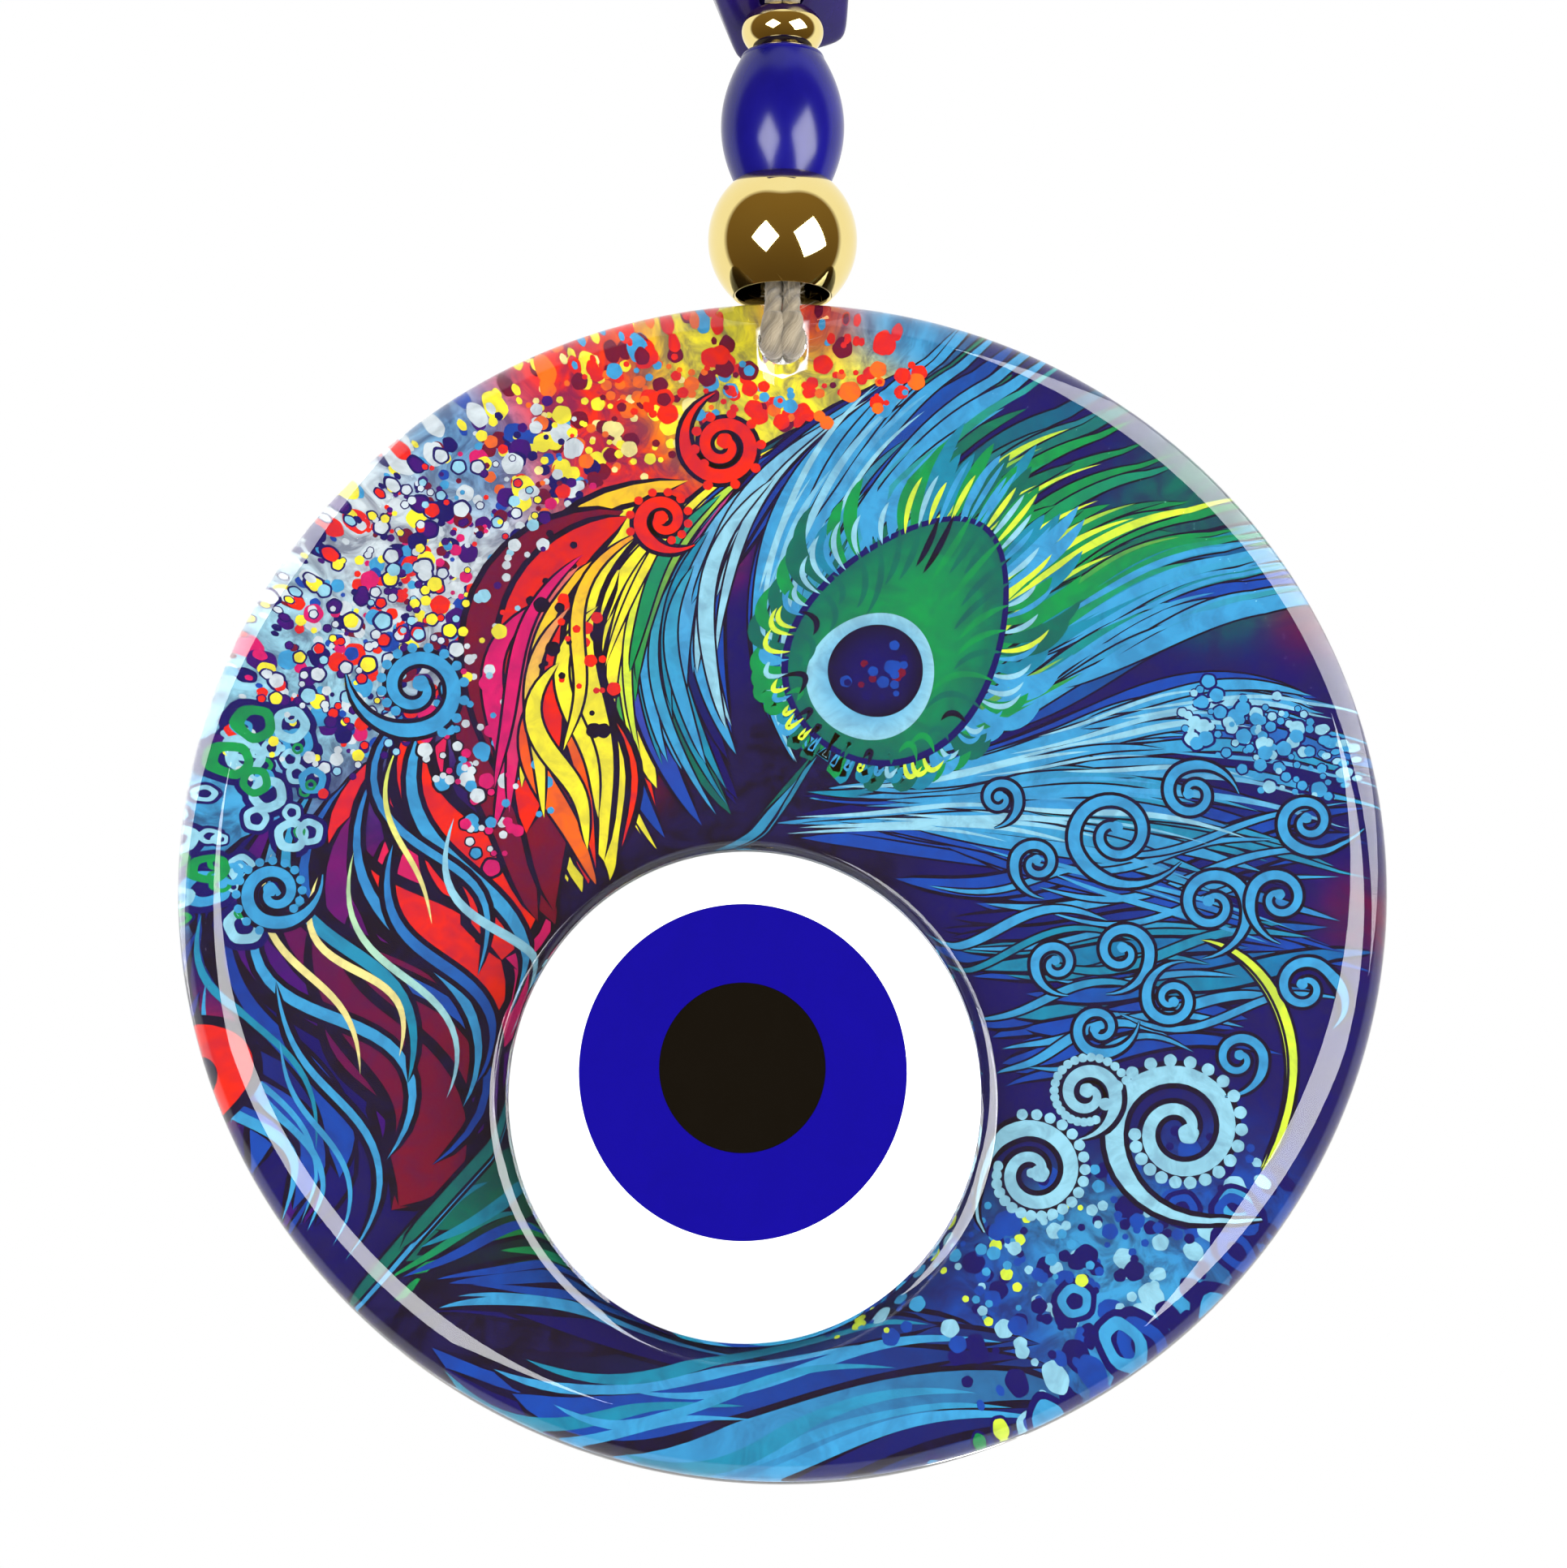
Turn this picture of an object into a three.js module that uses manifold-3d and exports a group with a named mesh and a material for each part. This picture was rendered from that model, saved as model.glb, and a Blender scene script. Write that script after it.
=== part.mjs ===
// Evil eye ornament: a round glass plate with a fused glass eye on its front and a print behind it,
// hung by one doubled twine that is threaded through five beads, knotted and left as a hanging loop.
// Millimetres, +Z up, the plate faces -Y. The origin is the inside top of the hanging loop.
import * as THREE from "three";
import { mergeVertices } from "three/addons/utils/BufferGeometryUtils.js";
import Module from "manifold-3d";

const wasm = await Module();
wasm.setup();

// ---- Driving dimensions -------------------------------------------------------------------------

// Glass plate, a disc on the Y axis
const PLATE_RADIUS = 65;
const PLATE_THICKNESS = 6.2;
const RIM_ROUND_IN = 5.5; // how far in from the edge the rounded front rim starts
const RIM_ROUND_DEPTH = 5; // how deep the rounded front rim is, where the glass is thick enough
const RIM_LAND = 0.5; // least straight edge between the rounded rim and the chamfer behind
const BACK_CHAMFER = 0.5;
const HOLE_RADIUS = 2.7;
const HOLE_BELOW_EDGE = 5.6; // edge of the plate to the middle of the hole

// Printed film and the backing sheet behind the plate
const FILM_THICKNESS = 0.25;
const BACKING_THICKNESS = 0.4;
const LAYER_GAP = 0.05;
const FILM_MARGIN = 1; // plate edge to film edge

// Fused eye on the front: white, iris and pupil, each as x radius, z radius and its middle
const WHITE = { rx: 25.05, rz: 26.6, x: -4, z: -24.5 };
const IRIS = { rx: 17.35, rz: 18.2, x: -4.2, z: -22.2 };
const PUPIL = { rx: 8.8, rz: 9.2, x: -4.25, z: -21.8 };
const EYE_HEIGHT = 2.2; // crown of the eye above the plate
const EYE_FALL = 0.35; // how much lower the eye's surface would be at the outline of the white
const EYE_EDGE_ROUND = 1.5;
const IRIS_DEPTH = 1;
const PUPIL_DEPTH = 0.5;
const EYE_GAP = 0.1; // joint round the iris and the pupil

// Twine
const TWINE = 1.9;
const STRAND_FIT = 0.03; // face of a strand to the middle planes of the bundle of four
const BORE_FIT = 0.314; // bundle to the bore of a bead
const TUBE_GAP = 0.3; // between the faces of two twine pieces, or a twine piece and the knot
const TWINE_SIDES = 8;
const KNOT_RADIUS = 4.4;
const KNOT_HALF = 3.7;
const SPLIT_ABOVE_EDGE = 4; // the strands end and the bights begin this far above the plate's edge

const strandOffset = TWINE / 2 + STRAND_FIT; // middle of the bundle to the middle of a strand, along X and Y
const twineBore = strandOffset * Math.SQRT2 + TWINE / 2 + BORE_FIT;

// Beads, each a body of revolution on the twine: widest radius and half height
const LARGE_GOLD = { radius: 8.2, half: 6.45, bore: 5.1, lip: 0.3, bulge: 8.6 };
const SMALL_GOLD = { radius: 4.55, half: 2.5, bore: twineBore, lip: 0.3, bulge: 3.28 };
const BARREL = { radius: 6.8, half: 8.5, end: 4.2, bore: twineBore, lip: 0.3 };
const SEAT_FIT = 0.05; // barrel flank to the mouth of the large gold bead
const BEAD_GAP = 0.15; // between the end faces of two beads
const PLATE_GAP = 0.5; // large gold bead to the edge of the plate
const CORNER_SLACK = 0.55; // how far the twine's way round the plate's back corner lies outside it
const TWINE_PASS = 0.33; // room for the twine between the bead's lip and the plate's back corner

// Nugget, a polished lump of glass with a slanted underside
const NUGGET = { below: 8, above: 7, bore: twineBore, softness: 16 };
const NUGGET_PITCH = 30; // slope of the underside, lowest at the back, degrees
const NUGGET_ROLL = 8; // slope of the underside, lowest at the left, degrees
const NUGGET_CAP = { acrossX: 0.12, acrossY: 0.1 }; // slopes of the top face
const NUGGET_GAP = 0.3;
// its other flat faces, as [way out along x, y, z, distance from its middle]
const NUGGET_SIDES = [
  [1, 0.05, 0, 7.5], [-1, -0.06, 0.05, 8.4], [-0.93, 0.1, -0.37, 10.2], [0.05, 1, 0.05, 7.9],
  [-0.05, -1, 0.1, 7.2], [0.55, 0.35, -0.76, 15], [0.7, -0.2, 0.7, 9], [-0.6, 0.5, 0.62, 9.6],
];

// Hanging loop: its middle line from the knot up over the hook and back, as [x, y, z]
const LOOP_ROUTE = [
  [-1.15, 0, -44], [-1.4, 0, -41.5], [-2.3, 0.1, -38], [-3.7, 0.1, -33.5], [-5.2, 0.1, -28], [-6.5, 0.1, -22],
  [-7.3, 0.1, -16], [-7.2, 0, -10.5], [-6.3, 0, -6], [-4.6, 0, -2.4], [-2.4, 0, -0.1], [0, 0, 0.95],
  [2.4, 0, -0.1], [4.6, 0, -2.4], [6.3, 0, -6], [7.2, 0, -10.5], [7.3, -0.1, -16], [6.5, -0.1, -22],
  [5.2, -0.1, -28], [3.7, -0.1, -33.5], [2.3, -0.1, -38], [1.4, 0, -41.5], [1.15, 0, -44],
];
// Cut ends of the twine, as [out from the side of the knot, forwards, above the knot's middle]
const TAIL_ROUTE = [[0.5, 0.4, 0.6], [2.2, 0.9, 0.2], [4, 1.5, -1.4], [5.4, 2, -3.9], [6.2, 2.3, -7]];

const DRILL = 60; // length of a drill, longer than anything it goes through

// ---- Levels down the twine ----------------------------------------------------------------------

const PLATE_SIDES = 72;
const LAYER_SIDES = 60;
const EYE_SIDES = 48;
const BEAD_SIDES = 32;
const BEAD_STEPS = 8;
const knotZ = LOOP_ROUTE[0][2] - TUBE_GAP - KNOT_HALF;
const upperGoldZ = knotZ - KNOT_HALF - TUBE_GAP - SMALL_GOLD.half;
// both small gold beads touch the nugget's slanted faces with one side of their rim
const rimRadius = SMALL_GOLD.bore + SMALL_GOLD.lip;
const capSlope = Math.hypot(NUGGET_CAP.acrossX, NUGGET_CAP.acrossY);
const nuggetZ = upperGoldZ - SMALL_GOLD.half - capSlope * rimRadius - NUGGET_GAP - NUGGET.above;
const underSlope = Math.hypot(Math.tan(rad(NUGGET_PITCH)), Math.tan(rad(NUGGET_ROLL)));
const smallGoldZ = nuggetZ - NUGGET.below - underSlope * rimRadius - NUGGET_GAP - SMALL_GOLD.half;
const barrelZ = smallGoldZ - SMALL_GOLD.half - BEAD_GAP - BARREL.half;
const seatRadius = LARGE_GOLD.bore - SEAT_FIT;
const largeGoldZ = barrelZ - barrelHeightAt(seatRadius) - (LARGE_GOLD.half - LARGE_GOLD.lip);
const lipToBack = LARGE_GOLD.bore - PLATE_THICKNESS / 2;
const twineClearance = Math.sqrt(Math.max(0, (TWINE + TWINE_PASS) ** 2 - lipToBack ** 2)) - BACK_CHAMFER;
const plateTop = largeGoldZ - LARGE_GOLD.half - Math.max(PLATE_GAP, twineClearance);
const plateZ = plateTop - PLATE_RADIUS;
const splitZ = plateTop + SPLIT_ABOVE_EDGE;

function rad(degrees) {
  return THREE.MathUtils.degToRad(degrees);
}

/** Height above the barrel's middle at which its curved flank has this radius. */
function barrelHeightAt(radius) {
  return BARREL.half * Math.sqrt((BARREL.radius - radius) / (BARREL.radius - BARREL.end));
}

// ---- Geometry helpers ---------------------------------------------------------------------------

/** Body of revolution on the Y axis from [radius, height] points that run up its outside. */
function turned(profile, sides) {
  return new THREE.LatheGeometry(profile.map(([r, h]) => new THREE.Vector2(r, h)), sides);
}

/** Points of an arc of an ellipse about [x, y], between two angles in degrees. */
function arc(x, y, rx, ry, from, to, steps) {
  return Array.from({ length: steps + 1 }, (_, i) => {
    const a = rad(from + ((to - from) * i) / steps);
    return [x + rx * Math.cos(a), y + ry * Math.sin(a)];
  });
}

/** A closed geometry as a solid for boolean work. */
function solid(geometry) {
  const bare = geometry.clone();
  bare.deleteAttribute("normal");
  bare.deleteAttribute("uv");
  const merged = mergeVertices(bare, 1e-5);
  const corners = [];
  for (let i = 0; i < merged.index.count; i += 3) {
    const [a, b, c] = [0, 1, 2].map((k) => merged.index.getX(i + k));
    if (a !== b && b !== c && a !== c) corners.push(a, b, c);
  }
  return new wasm.Manifold(new wasm.Mesh({
    numProp: 3,
    vertProperties: new Float32Array(merged.attributes.position.array),
    triVerts: new Uint32Array(corners),
  }));
}

/** The first solid less the others, as a geometry. */
function cut(base, ...tools) {
  const result = tools.reduce((left, tool) => left.subtract(solid(tool)), solid(base)).getMesh();
  const geometry = new THREE.BufferGeometry();
  geometry.setAttribute("position", new THREE.BufferAttribute(new Float32Array(result.vertProperties), 3));
  geometry.setIndex(new THREE.BufferAttribute(new Uint32Array(result.triVerts), 1));
  const facets = geometry.toNonIndexed();
  facets.computeVertexNormals();
  return facets;
}

/** Section of the twine. */
function twineSection() {
  const outline = arc(0, 0, TWINE / 2, TWINE / 2, 0, 360, TWINE_SIDES).slice(0, -1);
  return new THREE.Shape(outline.map(([x, y]) => new THREE.Vector2(x, y)));
}

/** Twine along a smooth line through points, with flat ends. */
function twine(points) {
  const route = new THREE.CatmullRomCurve3(points.map((p) => new THREE.Vector3(...p)));
  const steps = Math.min(80, Math.max(1, Math.ceil(route.getLength() / (TWINE * 1.1))));
  return new THREE.ExtrudeGeometry(twineSection(), { steps, extrudePath: route, bevelEnabled: false });
}

/** One cut end of the twine, about the knot's middle. */
function tail(side, ahead) {
  return twine(TAIL_ROUTE.map(([out, on, up]) => [side * (KNOT_RADIUS + out), ahead * on, up]));
}

/** Straight twine between two heights. */
function straightTwine(x, y, top, bottom) {
  const route = new THREE.LineCurve3(new THREE.Vector3(x, y, bottom), new THREE.Vector3(x, y, top));
  return new THREE.ExtrudeGeometry(twineSection(), { steps: 1, extrudePath: route, bevelEnabled: false });
}

/** Bead on the Y axis with an elliptical outside and a rounded mouth at each end of its bore. */
function goldBead({ radius, half, bore, lip, bulge }) {
  const crest = bore + lip;
  const outside = Array.from({ length: BEAD_STEPS + 1 }, (_, i) => {
    const h = -half + (2 * half * i) / BEAD_STEPS;
    return [radius * Math.sqrt(1 - (h / bulge) ** 2), h];
  }).map(([r, h], i) => (i === 0 || i === BEAD_STEPS ? [Math.max(r, crest), h] : [r, h]));
  const topLip = arc(crest, half - lip, lip, lip, 90, 180, 2);
  const bottomLip = arc(crest, lip - half, lip, lip, 180, 270, 2);
  return turned([...outside, ...topLip, ...bottomLip, outside[0]].filter(apart), BEAD_SIDES);
}

/** Barrel bead on the Y axis: a flank curved as a parabola, flat ends and a rounded mouth. */
function barrelBead({ radius, half, end, bore, lip }) {
  const outside = Array.from({ length: BEAD_STEPS + 1 }, (_, i) => {
    const h = -half + (2 * half * i) / BEAD_STEPS;
    return [radius - (radius - end) * (h / half) ** 2, h];
  });
  const topLip = arc(bore + lip, half - lip, lip, lip, 90, 180, 2);
  const bottomLip = arc(bore + lip, lip - half, lip, lip, 180, 270, 2);
  return turned([...outside, ...topLip, ...bottomLip, outside[0]], BEAD_SIDES);
}

/** Filter that drops a profile point that repeats the one before it. */
function apart([r, h], i, all) {
  return i === 0 || Math.hypot(r - all[i - 1][0], h - all[i - 1][1]) > 1e-3;
}

/** The nugget's faces as outward normals and their distances from its middle. */
function nuggetFaces() {
  const under = new THREE.Vector3(Math.tan(rad(NUGGET_ROLL)), -Math.tan(rad(NUGGET_PITCH)), -1);
  const cap = new THREE.Vector3(NUGGET_CAP.acrossX, NUGGET_CAP.acrossY, 1);
  const faces = [
    [under, NUGGET.below / under.length()],
    [cap, NUGGET.above / cap.length()],
    ...NUGGET_SIDES.map(([x, y, z, distance]) => [new THREE.Vector3(x, y, z), distance]),
  ];
  return faces.map(([normal, distance]) => [normal.normalize(), distance]);
}

/** A ball whose points are drawn in or out to a lump with flat faces and rounded edges. */
function nugget() {
  const ball = new THREE.SphereGeometry(1, 24, 16);
  const faces = nuggetFaces();
  const places = ball.attributes.position;
  const point = new THREE.Vector3();
  for (let i = 0; i < places.count; i += 1) {
    point.fromBufferAttribute(places, i).normalize();
    const reach = faces.reduce((sum, [n, c]) => sum + Math.max(0, n.dot(point) / c) ** NUGGET.softness, 0);
    point.multiplyScalar(reach ** (-1 / NUGGET.softness));
    places.setXYZ(i, point.x, point.y, point.z);
  }
  const drill = new THREE.CylinderGeometry(NUGGET.bore, NUGGET.bore, DRILL, 24).rotateX(Math.PI / 2);
  return cut(ball, drill);
}

// ---- Plate, print and eye -----------------------------------------------------------------------

const front = -PLATE_THICKNESS / 2;
const back = PLATE_THICKNESS / 2;
const rimDepth = Math.min(RIM_ROUND_DEPTH, PLATE_THICKNESS - BACK_CHAMFER - RIM_LAND);

/** Round drill on the Y axis at the plate's hole. */
function holeDrill() {
  return new THREE.CylinderGeometry(HOLE_RADIUS, HOLE_RADIUS, DRILL, 24)
    .translate(0, 0, PLATE_RADIUS - HOLE_BELOW_EDGE);
}

/** Glass plate on the Y axis, flat behind and rounded at the front rim, with its hole. */
function plate() {
  const rim = arc(PLATE_RADIUS - RIM_ROUND_IN, front + rimDepth, RIM_ROUND_IN, rimDepth, -90, 0, 7);
  return cut(
    turned(
      [[0, front], ...rim, [PLATE_RADIUS, back - BACK_CHAMFER], [PLATE_RADIUS - BACK_CHAMFER, back], [0, back]],
      PLATE_SIDES,
    ),
    holeDrill(),
  );
}

/** A thin round layer behind the plate between two depths, with the hole. */
function layer(from, to) {
  const radius = PLATE_RADIUS - FILM_MARGIN;
  return cut(turned([[0, from], [radius, from], [radius, to], [0, to]], LAYER_SIDES), holeDrill());
}

/** Crown of the eye: how far its surface stands above the plate at a share of the white's radius. */
function crown(share) {
  return EYE_HEIGHT - EYE_FALL * share * share;
}

/** An oval glass piece of the eye that faces -Y: its outline, the depth of its foot and its edge's rounding. */
function eyePiece(piece, foot, edgeRound) {
  const inner = piece.rx - edgeRound;
  const share = (r) => Math.min(1, (r + Math.abs(piece.x - WHITE.x)) / WHITE.rx);
  const top = (r) => front - crown(share(r));
  const edge = edgeRound > 0
    ? arc(inner, top(inner) + edgeRound, edgeRound, edgeRound, -90, 0, 4)
    : [[piece.rx, top(piece.rx)]];
  const middle = [0, 0.35, 0.7].map((s) => [s * inner, top(s * inner)]);
  const profile = [...middle, ...edge, [piece.rx, foot], [0, foot]].filter(apart);
  return turned(profile, EYE_SIDES).scale(1, 1, piece.rz / piece.rx).translate(piece.x, 0, piece.z);
}

/** Pocket for a piece of the eye: the piece's outline and a gap, from its foot outwards. */
function pocket(piece, foot) {
  const r = piece.rx + EYE_GAP;
  return new THREE.CylinderGeometry(r, r, DRILL, EYE_SIDES)
    .scale(1, 1, piece.rz / piece.rx)
    .translate(piece.x, foot + EYE_GAP - DRILL / 2, piece.z);
}

const irisFoot = front - EYE_HEIGHT + IRIS_DEPTH;
const pupilFoot = front - EYE_HEIGHT + PUPIL_DEPTH;
const eyeFoot = front - LAYER_GAP;

// ---- Lower bights of twine ----------------------------------------------------------------------

/** One bight: from the bundle in front of the plate, through its hole and up behind it. */
function bight(side) {
  const x = side * strandOffset;
  const radius = TWINE / 2;
  const clear = radius + TUBE_GAP;
  const chord = Math.sqrt(HOLE_RADIUS ** 2 - (strandOffset + radius) ** 2);
  const inHole = plateTop - HOLE_BELOW_EDGE + chord - clear;
  const behind = back + 2 * LAYER_GAP + FILM_THICKNESS + BACKING_THICKNESS;
  const mouth = LARGE_GOLD.bore - clear; // furthest back that the twine can be where it enters the large bead
  // raises the way over the back corner where the plate or the twine is thicker
  const lift = Math.max(0, back - BACK_CHAMFER + Math.SQRT2 * clear - mouth - CORNER_SLACK);
  const over = plateTop + clear + lift;
  const frontRim = (angle) => {
    const a = rad(angle);
    const out = new THREE.Vector2(Math.cos(a) / RIM_ROUND_IN, Math.sin(a) / rimDepth).normalize();
    return [
      x,
      front + rimDepth * (1 + Math.sin(a)) + out.y * (clear + 0.1),
      plateTop - RIM_ROUND_IN * (1 - Math.cos(a)) + out.x * (clear + 0.1),
    ];
  };
  return twine([
    // down from the bundle, round the rim and into the hole
    [x, -strandOffset, splitZ - TUBE_GAP], [x, -strandOffset, plateTop + 2.6],
    [x, -strandOffset - 0.1, plateTop + 1.5],
    frontRim(-32), frontRim(-52), frontRim(-72),
    [x, front - clear - 0.1, inHole + 1.5], [x, front - clear + 0.35, inHole + 0.35],
    [x, front + 0.1, inHole - 0.05], [x, 0, inHole - 0.1],
    // out behind, up over the edge and back to the bundle
    [x, behind - 0.2, inHole - 0.05], [x, behind + clear - 0.3, inHole + 0.4],
    [x, behind + clear, inHole + 1.5], [x, behind + clear, plateTop - 2.4],
    [x, behind + clear - 0.1, plateTop + mouth - behind - clear + CORNER_SLACK + lift],
    [x, mouth - 0.15, over - 0.6], [x, mouth - 1.15, over + 0.2],
    [x, strandOffset + 0.5, plateTop + clear + 0.95], [x, strandOffset + 0.08, plateTop + clear + 1.7],
    [x, strandOffset, splitZ - TUBE_GAP],
  ]);
}

// ---- Materials ----------------------------------------------------------------------------------

const standard = (color, roughness, metalness = 0) =>
  new THREE.MeshStandardMaterial({ color, roughness, metalness });
const clearGlass = standard(0xcfe8ee, 0.05);
const printInk = standard(0x2a6fae, 0.4);
const backingVinyl = standard(0xf2f2f0, 0.6);
const whiteGlass = standard(0xf5faff, 0.12);
const cobaltGlass = standard(0x1400b0, 0.1);
const blackGlass = standard(0x141414, 0.1);
const goldPlate = standard(0xc8a040, 0.15, 1);
const indigoGlass = standard(0x1c0069, 0.12);
const hempTwine = standard(0xbeaf91, 0.9);

// ---- Assembly -----------------------------------------------------------------------------------

const ornament = new THREE.Group();

/** Adds one named piece at a height on the twine's axis. */
function add(parent, name, geometry, material, height = 0) {
  const mesh = new THREE.Mesh(geometry, material);
  mesh.name = name;
  mesh.position.z = height;
  parent.add(mesh);
  return mesh;
}

/** Adds a bead that was turned on the Y axis, stood up on the twine. */
function addBead(name, geometry, material, height) {
  return add(ornament, name, geometry.rotateX(Math.PI / 2), material, height);
}

const plateGroup = new THREE.Group();
plateGroup.position.z = plateZ;
ornament.add(plateGroup);
add(plateGroup, "glass_plate", plate(), clearGlass);
const filmBack = back + LAYER_GAP + FILM_THICKNESS;
add(plateGroup, "printed_film", layer(back + LAYER_GAP, filmBack), printInk);
const backingFront = filmBack + LAYER_GAP;
add(plateGroup, "backing_sheet", layer(backingFront, backingFront + BACKING_THICKNESS), backingVinyl);
add(plateGroup, "eye_white", cut(eyePiece(WHITE, eyeFoot, EYE_EDGE_ROUND), pocket(IRIS, irisFoot)), whiteGlass);
add(plateGroup, "eye_iris", cut(eyePiece(IRIS, irisFoot, 0), pocket(PUPIL, pupilFoot)), cobaltGlass);
add(plateGroup, "eye_pupil", eyePiece(PUPIL, pupilFoot, 0), blackGlass);

addBead("large_gold_bead", goldBead(LARGE_GOLD), goldPlate, largeGoldZ);
addBead("barrel_bead", barrelBead(BARREL), cobaltGlass, barrelZ);
addBead("lower_gold_bead", goldBead(SMALL_GOLD), goldPlate, smallGoldZ);
addBead("upper_gold_bead", goldBead(SMALL_GOLD), goldPlate, upperGoldZ);
add(ornament, "nugget_bead", nugget(), indigoGlass, nuggetZ);

add(ornament, "hanging_loop", twine(LOOP_ROUTE), hempTwine);
const knot = new THREE.SphereGeometry(1, 20, 12).scale(KNOT_RADIUS, KNOT_RADIUS, KNOT_HALF);
add(ornament, "top_knot", knot, hempTwine, knotZ);
for (const [name, side, ahead] of [["left", -1, -1], ["right", 1, 1]]) {
  add(ornament, `twine_tail_${name}`, tail(side, ahead), hempTwine, knotZ);
  add(ornament, `twine_bight_${name}`, bight(side), hempTwine);
  for (const [place, y] of [["front", -strandOffset], ["back", strandOffset]]) {
    const strand = straightTwine(side * strandOffset, y, knotZ - KNOT_HALF, splitZ);
    add(ornament, `twine_strand_${place}_${name}`, strand, hempTwine);
  }
}

export default ornament;
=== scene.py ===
"""Evil eye ornament: a glass plate with a fused glass eye and a feather print behind it, hung from
hemp twine that carries gilt and glass beads.

The plate hangs in the XZ plane and faces -Y. Lengths are in metres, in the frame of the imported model.
"""

import logging
import math
from collections.abc import Iterable, Sequence
from dataclasses import dataclass, field
from enum import Enum

import bmesh
import bpy
import numpy as np
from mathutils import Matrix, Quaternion, Vector


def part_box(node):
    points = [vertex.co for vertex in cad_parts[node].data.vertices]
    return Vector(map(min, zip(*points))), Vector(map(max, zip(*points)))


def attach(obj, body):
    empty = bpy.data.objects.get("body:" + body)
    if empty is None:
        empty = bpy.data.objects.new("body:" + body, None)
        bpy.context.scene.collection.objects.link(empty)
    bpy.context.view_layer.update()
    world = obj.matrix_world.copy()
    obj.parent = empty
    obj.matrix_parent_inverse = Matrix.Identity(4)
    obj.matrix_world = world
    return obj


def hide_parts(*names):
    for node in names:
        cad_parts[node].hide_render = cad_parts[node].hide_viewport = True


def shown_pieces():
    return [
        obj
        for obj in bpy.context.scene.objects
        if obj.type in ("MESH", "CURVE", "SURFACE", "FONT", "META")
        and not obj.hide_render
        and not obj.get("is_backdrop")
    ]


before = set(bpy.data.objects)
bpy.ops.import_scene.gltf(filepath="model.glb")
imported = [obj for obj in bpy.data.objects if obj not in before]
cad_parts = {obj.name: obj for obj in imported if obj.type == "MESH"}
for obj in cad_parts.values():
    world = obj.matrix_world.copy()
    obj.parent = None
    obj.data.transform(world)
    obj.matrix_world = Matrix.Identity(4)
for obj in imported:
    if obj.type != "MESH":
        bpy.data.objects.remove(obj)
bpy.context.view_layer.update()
log = logging.getLogger("ornament")
MM = 0.001
Colour = tuple[float, float, float]
Point = tuple[float, float]
LIT_SHARE = 0.38  # a finish on the front reflects this share of the colour that it should show
MERGE_DISTANCE = 1e-7
DRILL_SIDES = 64
DRILL_HALF_LENGTH = 0.03
LINE_STEPS = 40  # fine steps for each point that a smooth line passes through

# Blender's kind of attribute for values of 1, 3 and 4 parts, and the field that holds them.
ATTRIBUTE_KINDS = {1: ("FLOAT", "value"), 3: ("FLOAT_VECTOR", "vector"), 4: ("FLOAT_COLOR", "color")}

# The hanging loop's middle line, from the knot up over the hook and back, in millimetres.
LOOP_ROUTE = [
    (-1.15, 0, -44), (-1.4, 0, -41.5), (-2.3, 0.1, -38), (-3.7, 0.1, -33.5), (-5.2, 0.1, -28),
    (-6.5, 0.1, -22), (-7.3, 0.1, -16), (-7.2, 0, -10.5), (-6.3, 0, -6), (-4.6, 0, -2.4),
    (-2.4, 0, -0.1), (0, 0, 0.95), (2.4, 0, -0.1), (4.6, 0, -2.4), (6.3, 0, -6), (7.2, 0, -10.5),
    (7.3, -0.1, -16), (6.5, -0.1, -22), (5.2, -0.1, -28), (3.7, -0.1, -33.5), (2.3, -0.1, -38),
    (1.4, 0, -41.5), (1.15, 0, -44),
]
# A cut end of the twine, as (out from the side of the knot, forwards, above the knot's middle), in mm.
TAIL_ROUTE = [(0.5, 0.4, 0.6), (2.2, 0.9, 0.2), (4, 1.5, -1.4), (5.4, 2, -3.9), (6.2, 2.3, -7)]


def srgb(red: int, green: int, blue: int) -> Colour:
    """A colour of 0 to 255 as the linear values that a shader takes."""
    share = np.array([red, green, blue]) / 255
    linear = np.where(share <= 0.04045, share / 12.92, ((share + 0.055) / 1.055) ** 2.4)
    return tuple(float(x) for x in linear)


def lit(red: int, green: int, blue: int) -> Colour:
    """The finish that looks like a colour of 0 to 255 on the ornament's brightly lit front."""
    return tuple(LIT_SHARE * x for x in srgb(red, green, blue))


# ---- Surfaces -------------------------------------------------------------------------------------


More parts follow.
